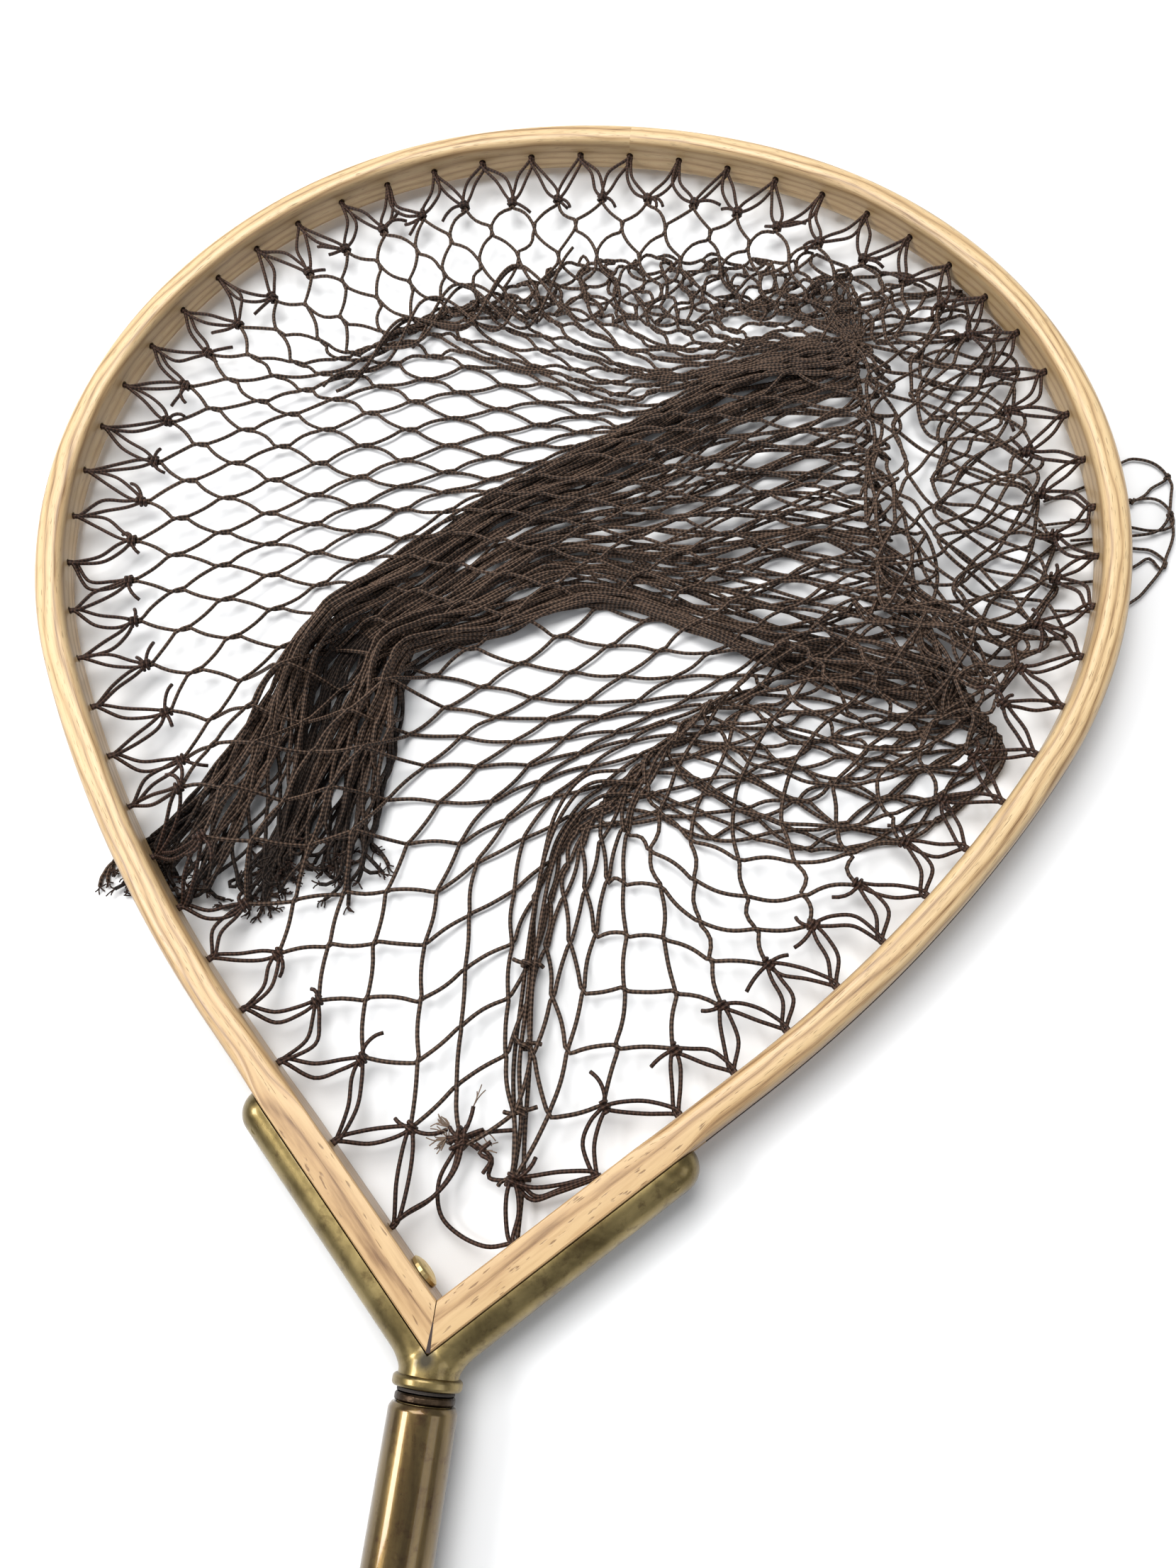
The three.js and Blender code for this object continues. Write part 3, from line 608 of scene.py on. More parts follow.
def make_groove_cord():
    distance = np.linspace(FORK_ARM_END + 5, HALF_BOW, 340)
    x, y, _ = along_bow(distance, BOW_WIDTH / 2 - GROOVE_DEPTH + 1.5)
    right = np.stack([x, y, np.full_like(x, AXIS_Z)], -1)
    line = np.concatenate([right, right[-2::-1] * [-1, 1, 1]])
    made = cords("groove_line", [line], GROOVE_CORD_RADIUS, TIE_CORD, 10)
    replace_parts(made, "groove_cord")


make_groove_cord()


def make_mitre_glue():
    """Dark glue that fills the mitre where it opens towards the point."""
    top = AXIS_Z + BOW_DEPTH / 2
    outline = [(-0.7, -7.0), (0.7, -7.0), (0.16, 1.5), (-0.16, 1.5)]
    prism("mitre_glue", outline, top - 1.5, top + 0.1, GLUE, "head", 0.5)


make_mitre_glue()


# ------------------------------------------------------------------ brass fork
STEM_LOW = -15.0                        # before the foot is cut off
STEM_SIDES = 64
FOOT_Y = -14.2
FORK_VOXEL = 0.42
CUT_REACH = 200.0


def capsule_path(points, radius, sides=40):
    """A round bar along points in the bow's plane, with a round far end."""
    tangent = np.gradient(points, axis=0)
    tangent /= np.linalg.norm(tangent, axis=1)[:, None]
    rings = [(centre, radius, way) for centre, way in zip(points, tangent)]
    for angle in np.linspace(0, math.pi / 2, 9)[1:]:
        rings.append((points[-1] + tangent[-1] * radius * math.sin(angle),
                      max(radius * math.cos(angle), 0.02), tangent[-1]))
    made = [(centre[0] + way[1] * size * math.cos(a), centre[1] - way[0] * size * math.cos(a),
             AXIS_Z + size * math.sin(a)) for centre, size, way in rings for a in round_angles(sides)]
    faces = quad_grid(len(rings), sides).tolist()
    faces += [list(range(sides)), list(range(len(made) - sides, len(made)))]
    return np.array(made), faces


def make_fork():
    """Two round arms and a stem run into one casting, then the bow's seat and the foot are cut."""
    face = BOW_WIDTH / 2 + GAP
    tip = -face / math.sin(APEX_HALF_ANGLE)
    turn = np.linspace(0, APEX_HALF_ANGLE, 12)
    start_y = tip - FORK_BEND * math.tan(APEX_HALF_ANGLE / 2)
    bend = np.stack([FORK_BEND * (1 - np.cos(turn)), start_y + FORK_BEND * np.sin(turn)], -1)
    x, y, _ = along_bow(FORK_ARM_END - FORK_RADIUS, face)
    arm = bend[-1] + (np.array([x, y]) - bend[-1]) * np.linspace(0, 1, 30)[1:, None]
    path = np.concatenate([[(0.0, STEM_LOW)], bend, arm])
    points, faces, offset = [], [], 0
    for side in (1, -1):
        bar, bar_faces = capsule_path(path * [side, 1], FORK_RADIUS)
        points.append(bar)
        faces += [[i + offset for i in corners] for corners in bar_faces]
        offset += len(bar)
    stem = fillet([(0, STEM_LOW - 0.4), (9.5, STEM_LOW - 0.4), (9.4, -9), (8.6, -6), (0, -4)], 0.4)
    points.append(lathe(stem, STEM_SIDES))
    faces += quad_grid(len(stem), STEM_SIDES, offset).tolist()
    fork = piece("fork", np.concatenate(points), faces, FORK_BRASS)
    applied(fork, [("REMESH", {"mode": "VOXEL", "voxel_size": FORK_VOXEL * MM}),
                   ("SMOOTH", {"factor": 0.5, "iterations": 14})])
    far_x, far_y = CUT_REACH * math.sin(APEX_HALF_ANGLE), CUT_REACH * math.cos(APEX_HALF_ANGLE)
    wedge = [(0, tip), (far_x, tip + far_y), (-far_x, tip + far_y)]
    foot = [(-40, -60), (40, -60), (40, FOOT_Y), (-40, FOOT_Y)]
    for name, outline in (("wedge", wedge), ("foot", foot)):
        cut(fork, prism(name, outline, -30, 60, FORK_BRASS), "EXACT")
    shade(fork.data, math.radians(40))
    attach(fork, "head")
    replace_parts(fork, "brass_fork")
    bead = [(9.0, -13.7), (10.1, -13.75), (10.8, -14.5), (10.8, -16.6), (10.1, -17.3), (5.2, -17.3)]
    turned("fork_bead", fillet(bead, 0.5), FORK_BRASS, "head")


make_fork()


# ------------------------------------------------------------------ handle
# Radii of the tube's outside, of its bore and of its rolled-in mouth.
TUBE_RADIUS = 10.6
TUBE_BORE = 9.5
MOUTH_BORE = 8.6


def make_handle():
    """The outer tube with its rolled-in mouth, the butt cap, and the ferrule's collar at the mouth."""
    tube_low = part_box("handle_tube")[0].y / MM - POINT_Y
    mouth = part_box("handle_tube")[1].y / MM - POINT_Y
    cap_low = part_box("butt_cap")[0].y / MM - POINT_Y
    tube = turned("tube", fillet([
        (TUBE_BORE, tube_low), (TUBE_RADIUS, tube_low), (TUBE_RADIUS, mouth - 1.6),
        (TUBE_RADIUS - 0.9, mouth), (MOUTH_BORE, mouth), (MOUTH_BORE, mouth - 1.4),
        (TUBE_BORE, mouth - 2), (TUBE_BORE, tube_low),
    ], 0.5), TUBE_BRASS, "handle", 128)
    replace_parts(tube, "handle_tube")
    cap = turned("cap", fillet([
        (0.01, cap_low), (7, cap_low), (9.6, cap_low + 1.2), (11.4, cap_low + 3.2), (12, cap_low + 5.4),
        (12, tube_low - 1.3), (11.4, tube_low - GAP), (9.2, tube_low - GAP), (9.2, tube_low + 15),
        (0.01, tube_low + 15),
    ], 0.6), TUBE_BRASS, "handle")
    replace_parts(cap, "butt_cap")
    turned("flange", fillet([
        (5.1, mouth - 3), (7, mouth - 3), (7, mouth + 0.3), (8.9, mouth + 0.3), (9.3, mouth + 0.9),
        (9.3, mouth + 2.1), (8.9, mouth + 2.7), (5.1, mouth + 2.7),
    ], 0.4), DARK_BRASS, "slide")


make_handle()
for material, nodes in (
    (FIBRE, ("seat_washer", "mouth_bush")),
    (DARK_BRASS, ("threaded_ferrule",)),
    (INNER_BRASS, ("slide_tube", "stop_sleeve", "butt_pin", "arm_nut_left")),
    (STEEL, ("stop_pin", "head_stud", "arm_bolt_left", "arm_screw_right")),
    (FORK_BRASS, ("arm_pin_left", "arm_pin_right")),
):
    for node in nodes:
        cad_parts[node].data.materials.clear()
        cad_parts[node].data.materials.append(material)

# ------------------------------------------------------------------ net
MESHES = 57                             # round the rim, one between each two holes
FOLD_ROW = 17                           # half rows from the rim to the fold on the right
NECK_ROW = 30                           # where the gathered bundle opens into its tail
LAST_ROW = 37
BAR = 20.5                              # twine from one knotless joint to the next
JOINT = 3.3                             # half the length of a knotless joint
TWINE_RADIUS = 0.77
RIM_KNOT_OUT = -27.0                    # rim knots, from the bow's centre line
ROWS = np.arange(LAST_ROW + 1)
HOLES = np.arange(MESHES) + 1 - MESHES / 2    # each rim mesh's place, in holes from the crown
SEAM_LINE = [(4, 72), (8, 90), (9, 110), (9, 130), (12, 158), (16, 178), (34, 188), (64, 180), (100, 172),
             (142, 186)]

# The lay of the net as lines that the meshes follow from the rim, each for the hole it starts
# near, counted from the crown with the left side negative. Each ends on the fold at the right.
LAY = {
    -28.5: SEAM_LINE,
    -27.5: [(-8, 78), (-2, 98), (2, 120), (5, 142), (10, 164), (22, 182), (52, 198), (90, 188), (140, 196)],
    -26: [(-39, 130), (-24, 161), (-5, 175), (19, 189), (48, 206), (84, 216), (123, 220)],
    -24: [(-61, 157), (-33, 180), (-3, 192), (32, 210), (57, 228), (93, 235), (135, 236)],
    -22: [(-91, 185), (-56, 200), (-11, 211), (30, 225), (69, 244), (108, 254)],
    -20: [(-114, 212), (-75, 229), (-27, 237), (16, 251), (53, 261), (93, 272)],
    -18: [(-127, 242), (-88, 259), (-44, 273), (5, 292), (64, 298)],
    -16: [(-142, 277), (-94, 288), (-55, 299), (-10, 314), (47, 323)],
    -14: [(-144, 308), (-100, 316), (-58, 320), (-13, 331), (30, 342), (73, 350)],
    -12: [(-137, 338), (-112, 348), (-84, 352), (-50, 352), (-14, 346), (20, 350), (52, 366), (84, 378)],
    -10: [(-131, 358), (-112, 362), (-103, 378), (-60, 376), (-24, 374), (12, 356), (50, 378), (85, 386)],
    -8: [(-128, 388), (-104, 366), (-90, 406), (-60, 386), (-22, 380), (16, 364), (54, 382), (85, 390)],
    -6: [(-98, 408), (-76, 380), (-66, 422), (-40, 398), (-10, 386), (22, 372), (56, 388), (85, 394)],
    -4: [(-68, 424), (-48, 388), (-38, 436), (-20, 404), (14, 386), (54, 392), (85, 396)],
    -2: [(-36, 434), (-22, 394), (-10, 448), (6, 410), (32, 392), (58, 396), (86, 399)],
    0: [(2, 438), (8, 392), (18, 454), (32, 414), (48, 398), (60, 399), (88, 402)],
    2: [(40, 430), (40, 392), (52, 456), (66, 404), (82, 444), (90, 404)],
    4: [(76, 425), (70, 398), (90, 458), (82, 402), (110, 450), (102, 404)],
    6: [(112, 400), (150, 440), (88, 396), (112, 404)],
    8: [(118, 382), (176, 420), (94, 376), (118, 398)],
    10: [(122, 358), (190, 386), (102, 344), (120, 384)],
    12: [(130, 330), (197, 346), (108, 306), (126, 358)],
    14: [(140, 298), (201, 308), (112, 278), (132, 318)],
    16: [(146, 266), (202, 270), (120, 250), (142, 290)],
    18: [(146, 238), (196, 242), (122, 268), (150, 286), (160, 240)],
    20: [(108, 178), (88, 202), (84, 242), (108, 274), (140, 256), (164, 232)],
    22: [(84, 152), (60, 172), (56, 216), (78, 248), (116, 240), (152, 222)],
    24: [(56, 140), (36, 166), (38, 206), (60, 228), (100, 216), (142, 216)],
    26: [(36, 126), (21, 154), (26, 192), (46, 208), (92, 194), (142, 206)],
    27.5: [(17, 66), (15, 86), (13, 108), (13, 130), (15, 156), (22, 182), (52, 178), (98, 164), (142, 180)],
    28.5: SEAM_LINE,
}
# The two edges of the fold at the top left, and the fold at the right where the net turns back.
FOLD_TOP = [(-122, 346), (-111, 364), (-97, 384), (-82, 403), (-69, 414), (-48, 425), (-31, 433), (-13, 441),
            (7, 446)]
FOLD_LOW = [(-122, 342), (-107, 358), (-89, 374), (-65, 391), (-43, 392), (-25, 395), (-6, 392), (14, 394)]
FOLD_EDGE = [(114, 404), (115, 389), (124, 351), (132, 314), (136, 290), (147, 262), (179, 215)]
# The three knots nearest to the bow's point, where the bag's cord is tied off.
POINT_KNOTS = {-28.5: (-2, 54), 28.5: (-2, 54), -27.5: (-20, 58), 27.5: (16, 46)}
# How far down the right fold each line ends, 0 at the top.
FOLD_SHARE = {-28.5: 1.0, -26: 0.95, -24: 0.88, -22: 0.71, -20: 0.6, -18: 0.5, -16: 0.38, -14: 0.27,
              -12: 0.13, -10: 0.09, -6: 0.05, 0: 0.01, 3: 0.0, 6: 0.04, 10: 0.15, 14: 0.34, 18: 0.56,
              22: 0.8, 28.5: 1.0}
BUNDLE_TOP = [(114, 400), (84, 392), (50, 377), (23, 353), (-12, 328), (-49, 303), (-75, 270), (-97, 246)]
BUNDLE_LOW = [(179, 215), (148, 233), (104, 236), (69, 244), (42, 262), (13, 270), (-2, 256), (-18, 242),
              (-54, 232)]
# The open end hangs out in two lobes with a hollow between them: share of the net that ends the
# lobe, its two edges from the neck down, and its lowest and highest cords.
LOBES = [
    (0.43, [(-97, 240), (-102, 218), (-112, 189), (-127, 166), (-140, 147), (-148, 139)],
     [(-88, 240), (-91, 216), (-88, 192), (-87, 170), (-88, 150), (-89, 135)], 0.0, 19.0),
    (0.56, [(-88, 239), (-88, 214), (-87, 192), (-88, 172), (-91, 156), (-93, 146)],
     [(-62, 237), (-70, 213), (-79, 190), (-83, 170), (-84, 156), (-84, 147)], 2.2, 4.2),
    (1.0, [(-62, 237), (-70, 213), (-79, 192), (-84, 174), (-88, 158), (-91, 147)],
     [(-54, 233), (-53, 210), (-55, 190), (-55, 172), (-54, 160), (-53, 153)], 0.0, 19.0),
]


def by_length(points, share):
    """Points at shares of a line's whole length."""
    points = np.asarray(points, float)
    along = running_length(points)
    share = np.asarray(share, float) * along[-1]
    return np.stack([np.interp(share, along, points[:, k]) for k in range(points.shape[1])], -1)


def smoothed(values, axis):
    """Values with their unevenness along one axis evened out; both ends stay."""
    near = (np.roll(values, 1, axis) + np.roll(values, -1, axis)) / 2
    mid = [slice(None)] * values.ndim
    mid[axis] = slice(1, -1)
    mid = tuple(mid)
    values = values.copy()
    values[mid] = (values[mid] + near[mid]) / 2
    return values


def slow_noise(steps, amount):
    """Unevenness that neighbouring meshes share, the same at both ends of the rim."""
    total = np.zeros_like(steps)
    for turns in range(3, 13):
        total += RNG.normal() * np.sin(2 * math.pi * turns * steps / MESHES + RNG.uniform(0, 2 * math.pi))
    return amount * total / math.sqrt(5)


def rim_distance(hole):
    """Distance along half the bow of a hole counted from the crown."""
    hole = np.abs(np.asarray(hole, float))
    last = HALF_BOW - HOLE_PITCH * HOLES_PER_SIDE
    return np.where(hole <= HOLES_PER_SIDE, HALF_BOW - HOLE_PITCH * hole,
                    last - ARM_HOLE_PITCH * (hole - HOLES_PER_SIDE))


def rim_knot(hole):
    """Where the rim mesh nearest to a hole is knotted."""
    if hole in POINT_KNOTS:
        return np.array(POINT_KNOTS[hole], float)
    near = 6.0 * float(smoothstep(2, 6, hole) * (1 - smoothstep(17, 21, hole)))
    uneven = RIM_KNOT_OUT + near + (2.4 + near / 3) * math.sin(hole * 7.3) + 1.6 * math.sin(hole * 2.9 + 1)
    x, y, _ = along_bow(rim_distance(hole) + 1.5 * math.sin(hole * 5.1), uneven)
    return np.array([math.copysign(x, hole), y])


def lobe_of(even):
    """Which lobe of the tail each column ends in, and how far across it, from 0 to 1."""
    ends = np.array([share for share, *_ in LOBES])
    starts = np.concatenate([[0], ends[:-1]])
    lobe = np.minimum(np.searchsorted(ends, even), len(LOBES) - 1)
    return lobe, (even - starts[lobe]) / (ends - starts)[lobe]


def lay_of_net():
    """Knot places [mesh, row] on the table, before the longest bars are pulled in."""
    rows = np.arange(FOLD_ROW + 1) / FOLD_ROW
    keys = sorted(LAY)
    shares = np.interp(keys, list(FOLD_SHARE), list(FOLD_SHARE.values()))
    lines = []
    for key, share in zip(keys, shares):
        route = np.concatenate([[rim_knot(key)], np.array(LAY[key], float), by_length(FOLD_EDGE, [share])])
        lines.append(smoothed(by_length(route, rows), 0))
    lines = np.array(lines)
    half_steps = np.arange(2 * MESHES + 1) / 2 - MESHES / 2
    inside = np.stack([[np.interp(half_steps, keys, lines[:, r, k]) for r in range(FOLD_ROW + 1)]
                       for k in range(2)], -1).transpose(1, 0, 2)
    share = np.interp(half_steps, list(FOLD_SHARE), list(FOLD_SHARE.values()))
    share = np.clip(share + slow_noise(half_steps, 0.02), 0, 1)
    back = np.arange(1, NECK_ROW - FOLD_ROW + 1) / (NECK_ROW - FOLD_ROW)
    top, low = by_length(BUNDLE_TOP, back), by_length(BUNDLE_LOW, back)
    edge = by_length(FOLD_EDGE, share)
    even = np.empty_like(share)
    even[np.argsort(share)] = np.linspace(0, 1, len(share))
    settled = share[:, None] + (even - share)[:, None] * 0.8 * back[None]
    spread = top[None] * (1 - settled[..., None]) + low[None] * settled[..., None]
    # straight across between the two edges at first, then true to the fold's own line
    start = BUNDLE_TOP[0] * (1 - share[:, None]) + np.array(BUNDLE_LOW[0]) * share[:, None]
    bundle = spread + (edge - start)[:, None] * ((1 - back) ** 1.5)[None, :, None]
    down = np.arange(1, LAST_ROW - NECK_ROW + 1) / (LAST_ROW - NECK_ROW)
    lobe, within = lobe_of(even)
    within = np.clip(within + slow_noise(half_steps, 0.06), 0, 1)
    edges = [(by_length(outer, down), by_length(inner, down)) for _, outer, inner, _, _ in LOBES]
    tail = np.array([edges[i][0] * (1 - w) + edges[i][1] * w for i, w in zip(lobe, within)])
    grid = np.concatenate([inside, bundle, tail], 1)
    grid[:, 1:] = smoothed(grid, 1)[:, 1:]
    return grid, even


def knots_of(grid):
    """The knots themselves: every second half step, shifted by one on each next row."""
    rows = grid.shape[1]
    knots = np.empty((MESHES, rows, *grid.shape[2:]))
    for row in range(rows):
        first = 2 if row % 2 == 0 else 1
        index = (first + 2 * np.arange(MESHES)) % (2 * MESHES)
        knots[:, row] = grid[index, row]
    return knots


def next_knots(row):
    """For each mesh on a row, the meshes on the next row that its two bars run to."""
    here = np.arange(MESHES)
    return (here, (here + 1) % MESHES) if row % 2 == 0 else ((here - 1) % MESHES, here)


def waves(shape, count, amount):
    """Smooth unevenness over the net, from a few random waves."""
    u = np.arange(shape[0])[:, None] / shape[0]
    v = np.arange(shape[1])[None] / shape[1]
    total = np.zeros(shape)
    for _ in range(count):
        a, b = RNG.integers(1, 9), RNG.uniform(1, 9)
        total += RNG.normal() * np.sin(2 * math.pi * (a * u + b * v) + RNG.uniform(0, 2 * math.pi))
    return amount * total / math.sqrt(count)


def heap_share():
    """How much each mesh belongs to the slack heap on the right, from 0 to 1."""
    across = smoothstep(3, 9, HOLES) * (1 - smoothstep(19, 24, HOLES))
    return across[:, None] * (smoothstep(0, 3, ROWS) * (ROWS < FOLD_ROW))[None]


def stir(knots):
    """Moves the knots off their even lay, most in the slack heap on the right."""
    heap = heap_share()[:, 1:]
    for axis in range(2):
        knots[:, 1:, axis] += waves((MESHES, LAST_ROW), 6, 1.9)
        knots[:, 1:, axis] += waves((MESHES, LAST_ROW), 14, 6.0) * heap
        knots[:, 1:, axis] += RNG.normal(0, 3.0, heap.shape) * heap
        knots[:, 1:FOLD_ROW, axis] += RNG.normal(0, 1.0, (MESHES, FOLD_ROW - 1))
    knots[:, LAST_ROW, 1] += RNG.normal(0, 4.0, MESHES)


def relaxed(knots, passes=80):
    """Pulls knots together where a bar is longer than its twine; some stay longer, and the rim stays."""
    goal = knots.copy()
    for _ in range(passes):
        knots[:, 1:FOLD_ROW] += (goal[:, 1:FOLD_ROW] - knots[:, 1:FOLD_ROW]) * 0.03
        for row in range(knots.shape[1] - 1):
            for across in next_knots(row):
                gap = knots[across, row + 1] - knots[:, row]
                length = np.linalg.norm(gap, axis=1)[:, None]
                pull = gap * np.maximum(0, 1 - (BAR - 1.0) / (length + 1e-9)) * 0.5
                if row == 0:
                    knots[across, row + 1] -= pull * 1.6
                else:
                    knots[:, row] += pull
                    knots[across, row + 1] -= pull
    return knots


# ------------------------------------------------------------------ heights and strands
TABLE_CLEAR = TWINE_RADIUS + 0.2
BUNDLE_HEIGHT = 7.5
RIM_LIFT = 6.5                          # from the table up to the holes' height
LEAST_BOW = 2.6                         # of a bar before its looseness
MAX_BOW = 7.0                           # of one slack bar, sideways


def depth_inside(points, outline):
    """How far points lie inside a closed outline, negative outside it."""
    a = np.asarray(outline, float)
    b = np.roll(a, -1, 0)
    edge = b - a
    flat = points.reshape(-1, 2)
    gap = flat[:, None] - a
    t = np.clip((gap * edge).sum(-1) / (edge ** 2).sum(-1), 0, 1)
    near = np.linalg.norm(gap - t[..., None] * edge, axis=-1).min(1)
    x, y = flat[:, :1], flat[:, 1:]
    crosses = (a[:, 1] > y) != (b[:, 1] > y)
    rise = np.where(edge[:, 1] == 0, 1e-9, edge[:, 1])
    at = a[:, 0] + (y - a[:, 1]) / rise * edge[:, 0]
    inside = (crosses & (x < at)).sum(1) % 2 == 1
    return np.where(inside, near, -near).reshape(points.shape[:-1])


def pile_height(points):
    """Height of what lies under the open meshes: the bundle and the two lobes of its tail."""
    bundle = BUNDLE_TOP + BUNDLE_LOW[::-1]
    height = BUNDLE_HEIGHT * smoothstep(-5, 7, depth_inside(points, bundle))
    for _, outer, inner, _, top in LOBES:
        height = np.maximum(height, top * smoothstep(-5, 6, depth_inside(points, outer + inner[::-1])))
    return height


def heights(knots, even):
    """Height of each knot over the table."""
    down = ROWS[None] / FOLD_ROW
    uneven = np.abs(waves((MESHES, LAST_ROW + 1), 8, 1.0))
    top = np.exp(-(HOLES / 9.0) ** 4)[:, None] * 3.4
    right = smoothstep(5, 10, HOLES)[:, None] * (1 - smoothstep(22, 26, HOLES))[:, None]
    z = TABLE_CLEAR + pile_height(knots) + top * down
    z = z + (right * 5.0 + 1.0) * uneven * np.sin(math.pi * np.clip(down, 0, 1))
    level = RNG.uniform(0, 1, (MESHES, 1)) + waves((MESHES, LAST_ROW + 1), 6, 0.25)
    packed = TABLE_CLEAR + (BUNDLE_HEIGHT - 1.5) * np.clip(level, 0, 1)
    lobe, within = lobe_of(even)
    low, high = (np.array([values[i] for values in LOBES])[lobe][:, None] for i in (3, 4))
    dome = np.clip(1 - np.abs(2 * within - 1) ** 4, 0.1, 1)[:, None]
    drop = 1 - 0.7 * smoothstep(NECK_ROW + 1, LAST_ROW, ROWS)[None]
    hung = TABLE_CLEAR + low + (high - low) * dome * np.clip(level, 0, 1) ** 0.6 * drop
    tail = smoothstep(NECK_ROW - 3, NECK_ROW + 0.5, ROWS)[None]
    packed = packed * (1 - tail) + hung * tail
    to_pack = smoothstep(FOLD_ROW - 1, FOLD_ROW + 1.5, ROWS)[None]
    lift = RIM_LIFT * (1 - smoothstep(0.5, 5, ROWS))[None]
    return z * (1 - to_pack) + packed * to_pack + lift


def offset_from_bow(points):
    """Signed distance from the bow's centre line, positive outside, and the outward direction."""
    distance = np.linspace(0, HALF_BOW, 700)
    x, y, heading = along_bow(distance)
    gap_x = np.abs(points[:, :1]) - x
    gap_y = points[:, 1:2] - y
    near = np.argmin(gap_x ** 2 + gap_y ** 2, 1)
    rows = np.arange(len(points))
    out = np.stack([np.cos(heading[near]), -np.sin(heading[near])], -1)
    signed = gap_x[rows, near] * out[:, 0] + gap_y[rows, near] * out[:, 1]
    out[:, 0] *= np.where(points[:, 0] < 0, -1, 1)
    return signed, out


def clear_of_wood(line):
    """Keeps a strand off the wood: beside it, or flat on the table where it passes underneath."""
    line = line.copy()
    signed, out = offset_from_bow(line[:, :2])
    limit = -BOW_WIDTH / 2 - TWINE_RADIUS - 0.3
    low = AXIS_Z - BOW_DEPTH / 2 - TWINE_RADIUS - 0.15
    beneath = (signed > -BOW_WIDTH) & (line[:, 2] < low + 0.6)
    line[beneath, 2] = np.minimum(line[beneath, 2], low)
    beside = (signed > limit) & ~beneath
    line[beside, :2] -= out[beside] * (signed[beside] - limit)[:, None]
    line[:, 2] = np.maximum(line[:, 2], TWINE_RADIUS + CORD_CLEAR)
    return line


def looseness_of_bars():
    """Share of a bar's slack that shows: little in the field on the left, most in the heap."""
    right = smoothstep(1, 8, HOLES) * (1 - smoothstep(22, 26, HOLES))
    top = np.exp(-(HOLES / 8.0) ** 2)
    open_part = 0.36 + 0.4 * np.maximum(right, top)
    return np.where(ROWS[None] > FOLD_ROW, 0.14, open_part[:, None])


def joint_lengths():
    """Half the length of each joint: short where the mesh is pulled open square, and in the heap."""
    square = smoothstep(18, 23, np.abs(HOLES))[:, None] * (ROWS < 12)[None]
    return JOINT * (1 - 0.6 * square) * (1 - 0.6 * heap_share()) * np.where(ROWS > FOLD_ROW, 0.7, 1)


def strands(knots):
    """Every strand of the mesh as [first row, points]: two slanting ways through the joints."""
    rows = knots.shape[1]
    after, before = np.empty_like(knots), np.empty_like(knots)
    left, right = np.empty_like(knots), np.empty_like(knots)
    for row in range(rows - 1):
        to_left, to_right = next_knots(row)
        after[:, row] = (knots[to_left, row + 1] + knots[to_right, row + 1]) / 2
        left[:, row], right[:, row] = knots[to_left, row + 1], knots[to_right, row + 1]
        total = np.zeros_like(knots[:, 0])
        np.add.at(total, to_left, knots[:, row] / 2)
        np.add.at(total, to_right, knots[:, row] / 2)
        before[:, row + 1] = total
    before[:, 0] = 2 * knots[:, 0] - after[:, 0]
    after[:, -1] = 2 * knots[:, -1] - before[:, -1]
    left[:, -1], right[:, -1] = left[:, -2], right[:, -2]
    run = after - before
    run /= np.linalg.norm(run, axis=-1, keepdims=True) + 1e-6
    across = np.cross(run, UP)
    across /= np.linalg.norm(across, axis=-1, keepdims=True) + 1e-6
    flip = np.sign(((right - left) * across).sum(-1))
    flip[flip == 0] = 1
    across = across * flip[..., None]
    looseness, joints = looseness_of_bars(), joint_lengths()
    ease = np.maximum(heap_share(), 0.7 * (np.arange(rows) > FOLD_ROW))
    made = []
    for lean in (1, -1):
        for start in range(MESHES):
            mesh, line, marks, slack = start, [], [], []
            for row in range(rows):
                knot, way, aside = knots[mesh, row], run[mesh, row], across[mesh, row]
                reach = joints[mesh, row]
                beside = aside * lean * TWINE_RADIUS * (0.85 if row <= FOLD_ROW else 0.5)
                if line:
                    entry = knot - way * reach - beside
                    line += bar_points(line[-1], entry, looseness[mesh, row])
                    line.append(entry)
                    slack += [ease[mesh, row]] * 4
                marks.append(len(line))
                line.append(knot + np.array([0, 0, 0.7 * lean]))
                line.append(knot + way * reach + beside)
                slack += [ease[mesh, row]] * 2
                if row < rows - 1:
                    mesh = next_knots(row)[1 if lean > 0 else 0][mesh]
            made.append((eased(np.array(line), np.array(slack)), marks))
    return made


def eased(line, share, passes=4):
    """A line with its bends taken out where share is 1."""
    for _ in range(passes):
        middle = (line[:-2] + line[2:]) / 2
        line[1:-1] += (middle - line[1:-1]) * 0.55 * share[1:-1, None]
    return line


def bar_points(start, end, looseness):
    """Points of one bar: its slack twine bows to one side and a little upwards."""
    gap = end - start
    chord = np.linalg.norm(gap) + 1e-6
    slack = max(0.0, (BAR - 2 * JOINT) / chord - 1)
    bow = min(max(2 * chord / math.pi * math.sqrt(slack), LEAST_BOW) * looseness, MAX_BOW)
    side = np.array([gap[1], -gap[0], 0.0]) / chord
    lean = RNG.choice([-1.0, 1.0]) * RNG.uniform(0.25, 1.0)
    up = RNG.uniform(0.0, 0.45)
    away = side * lean + np.array([0, 0, up])
    return [start + gap * t + away * bow * math.sin(math.pi * t) for t in (0.25, 0.5, 0.75)]


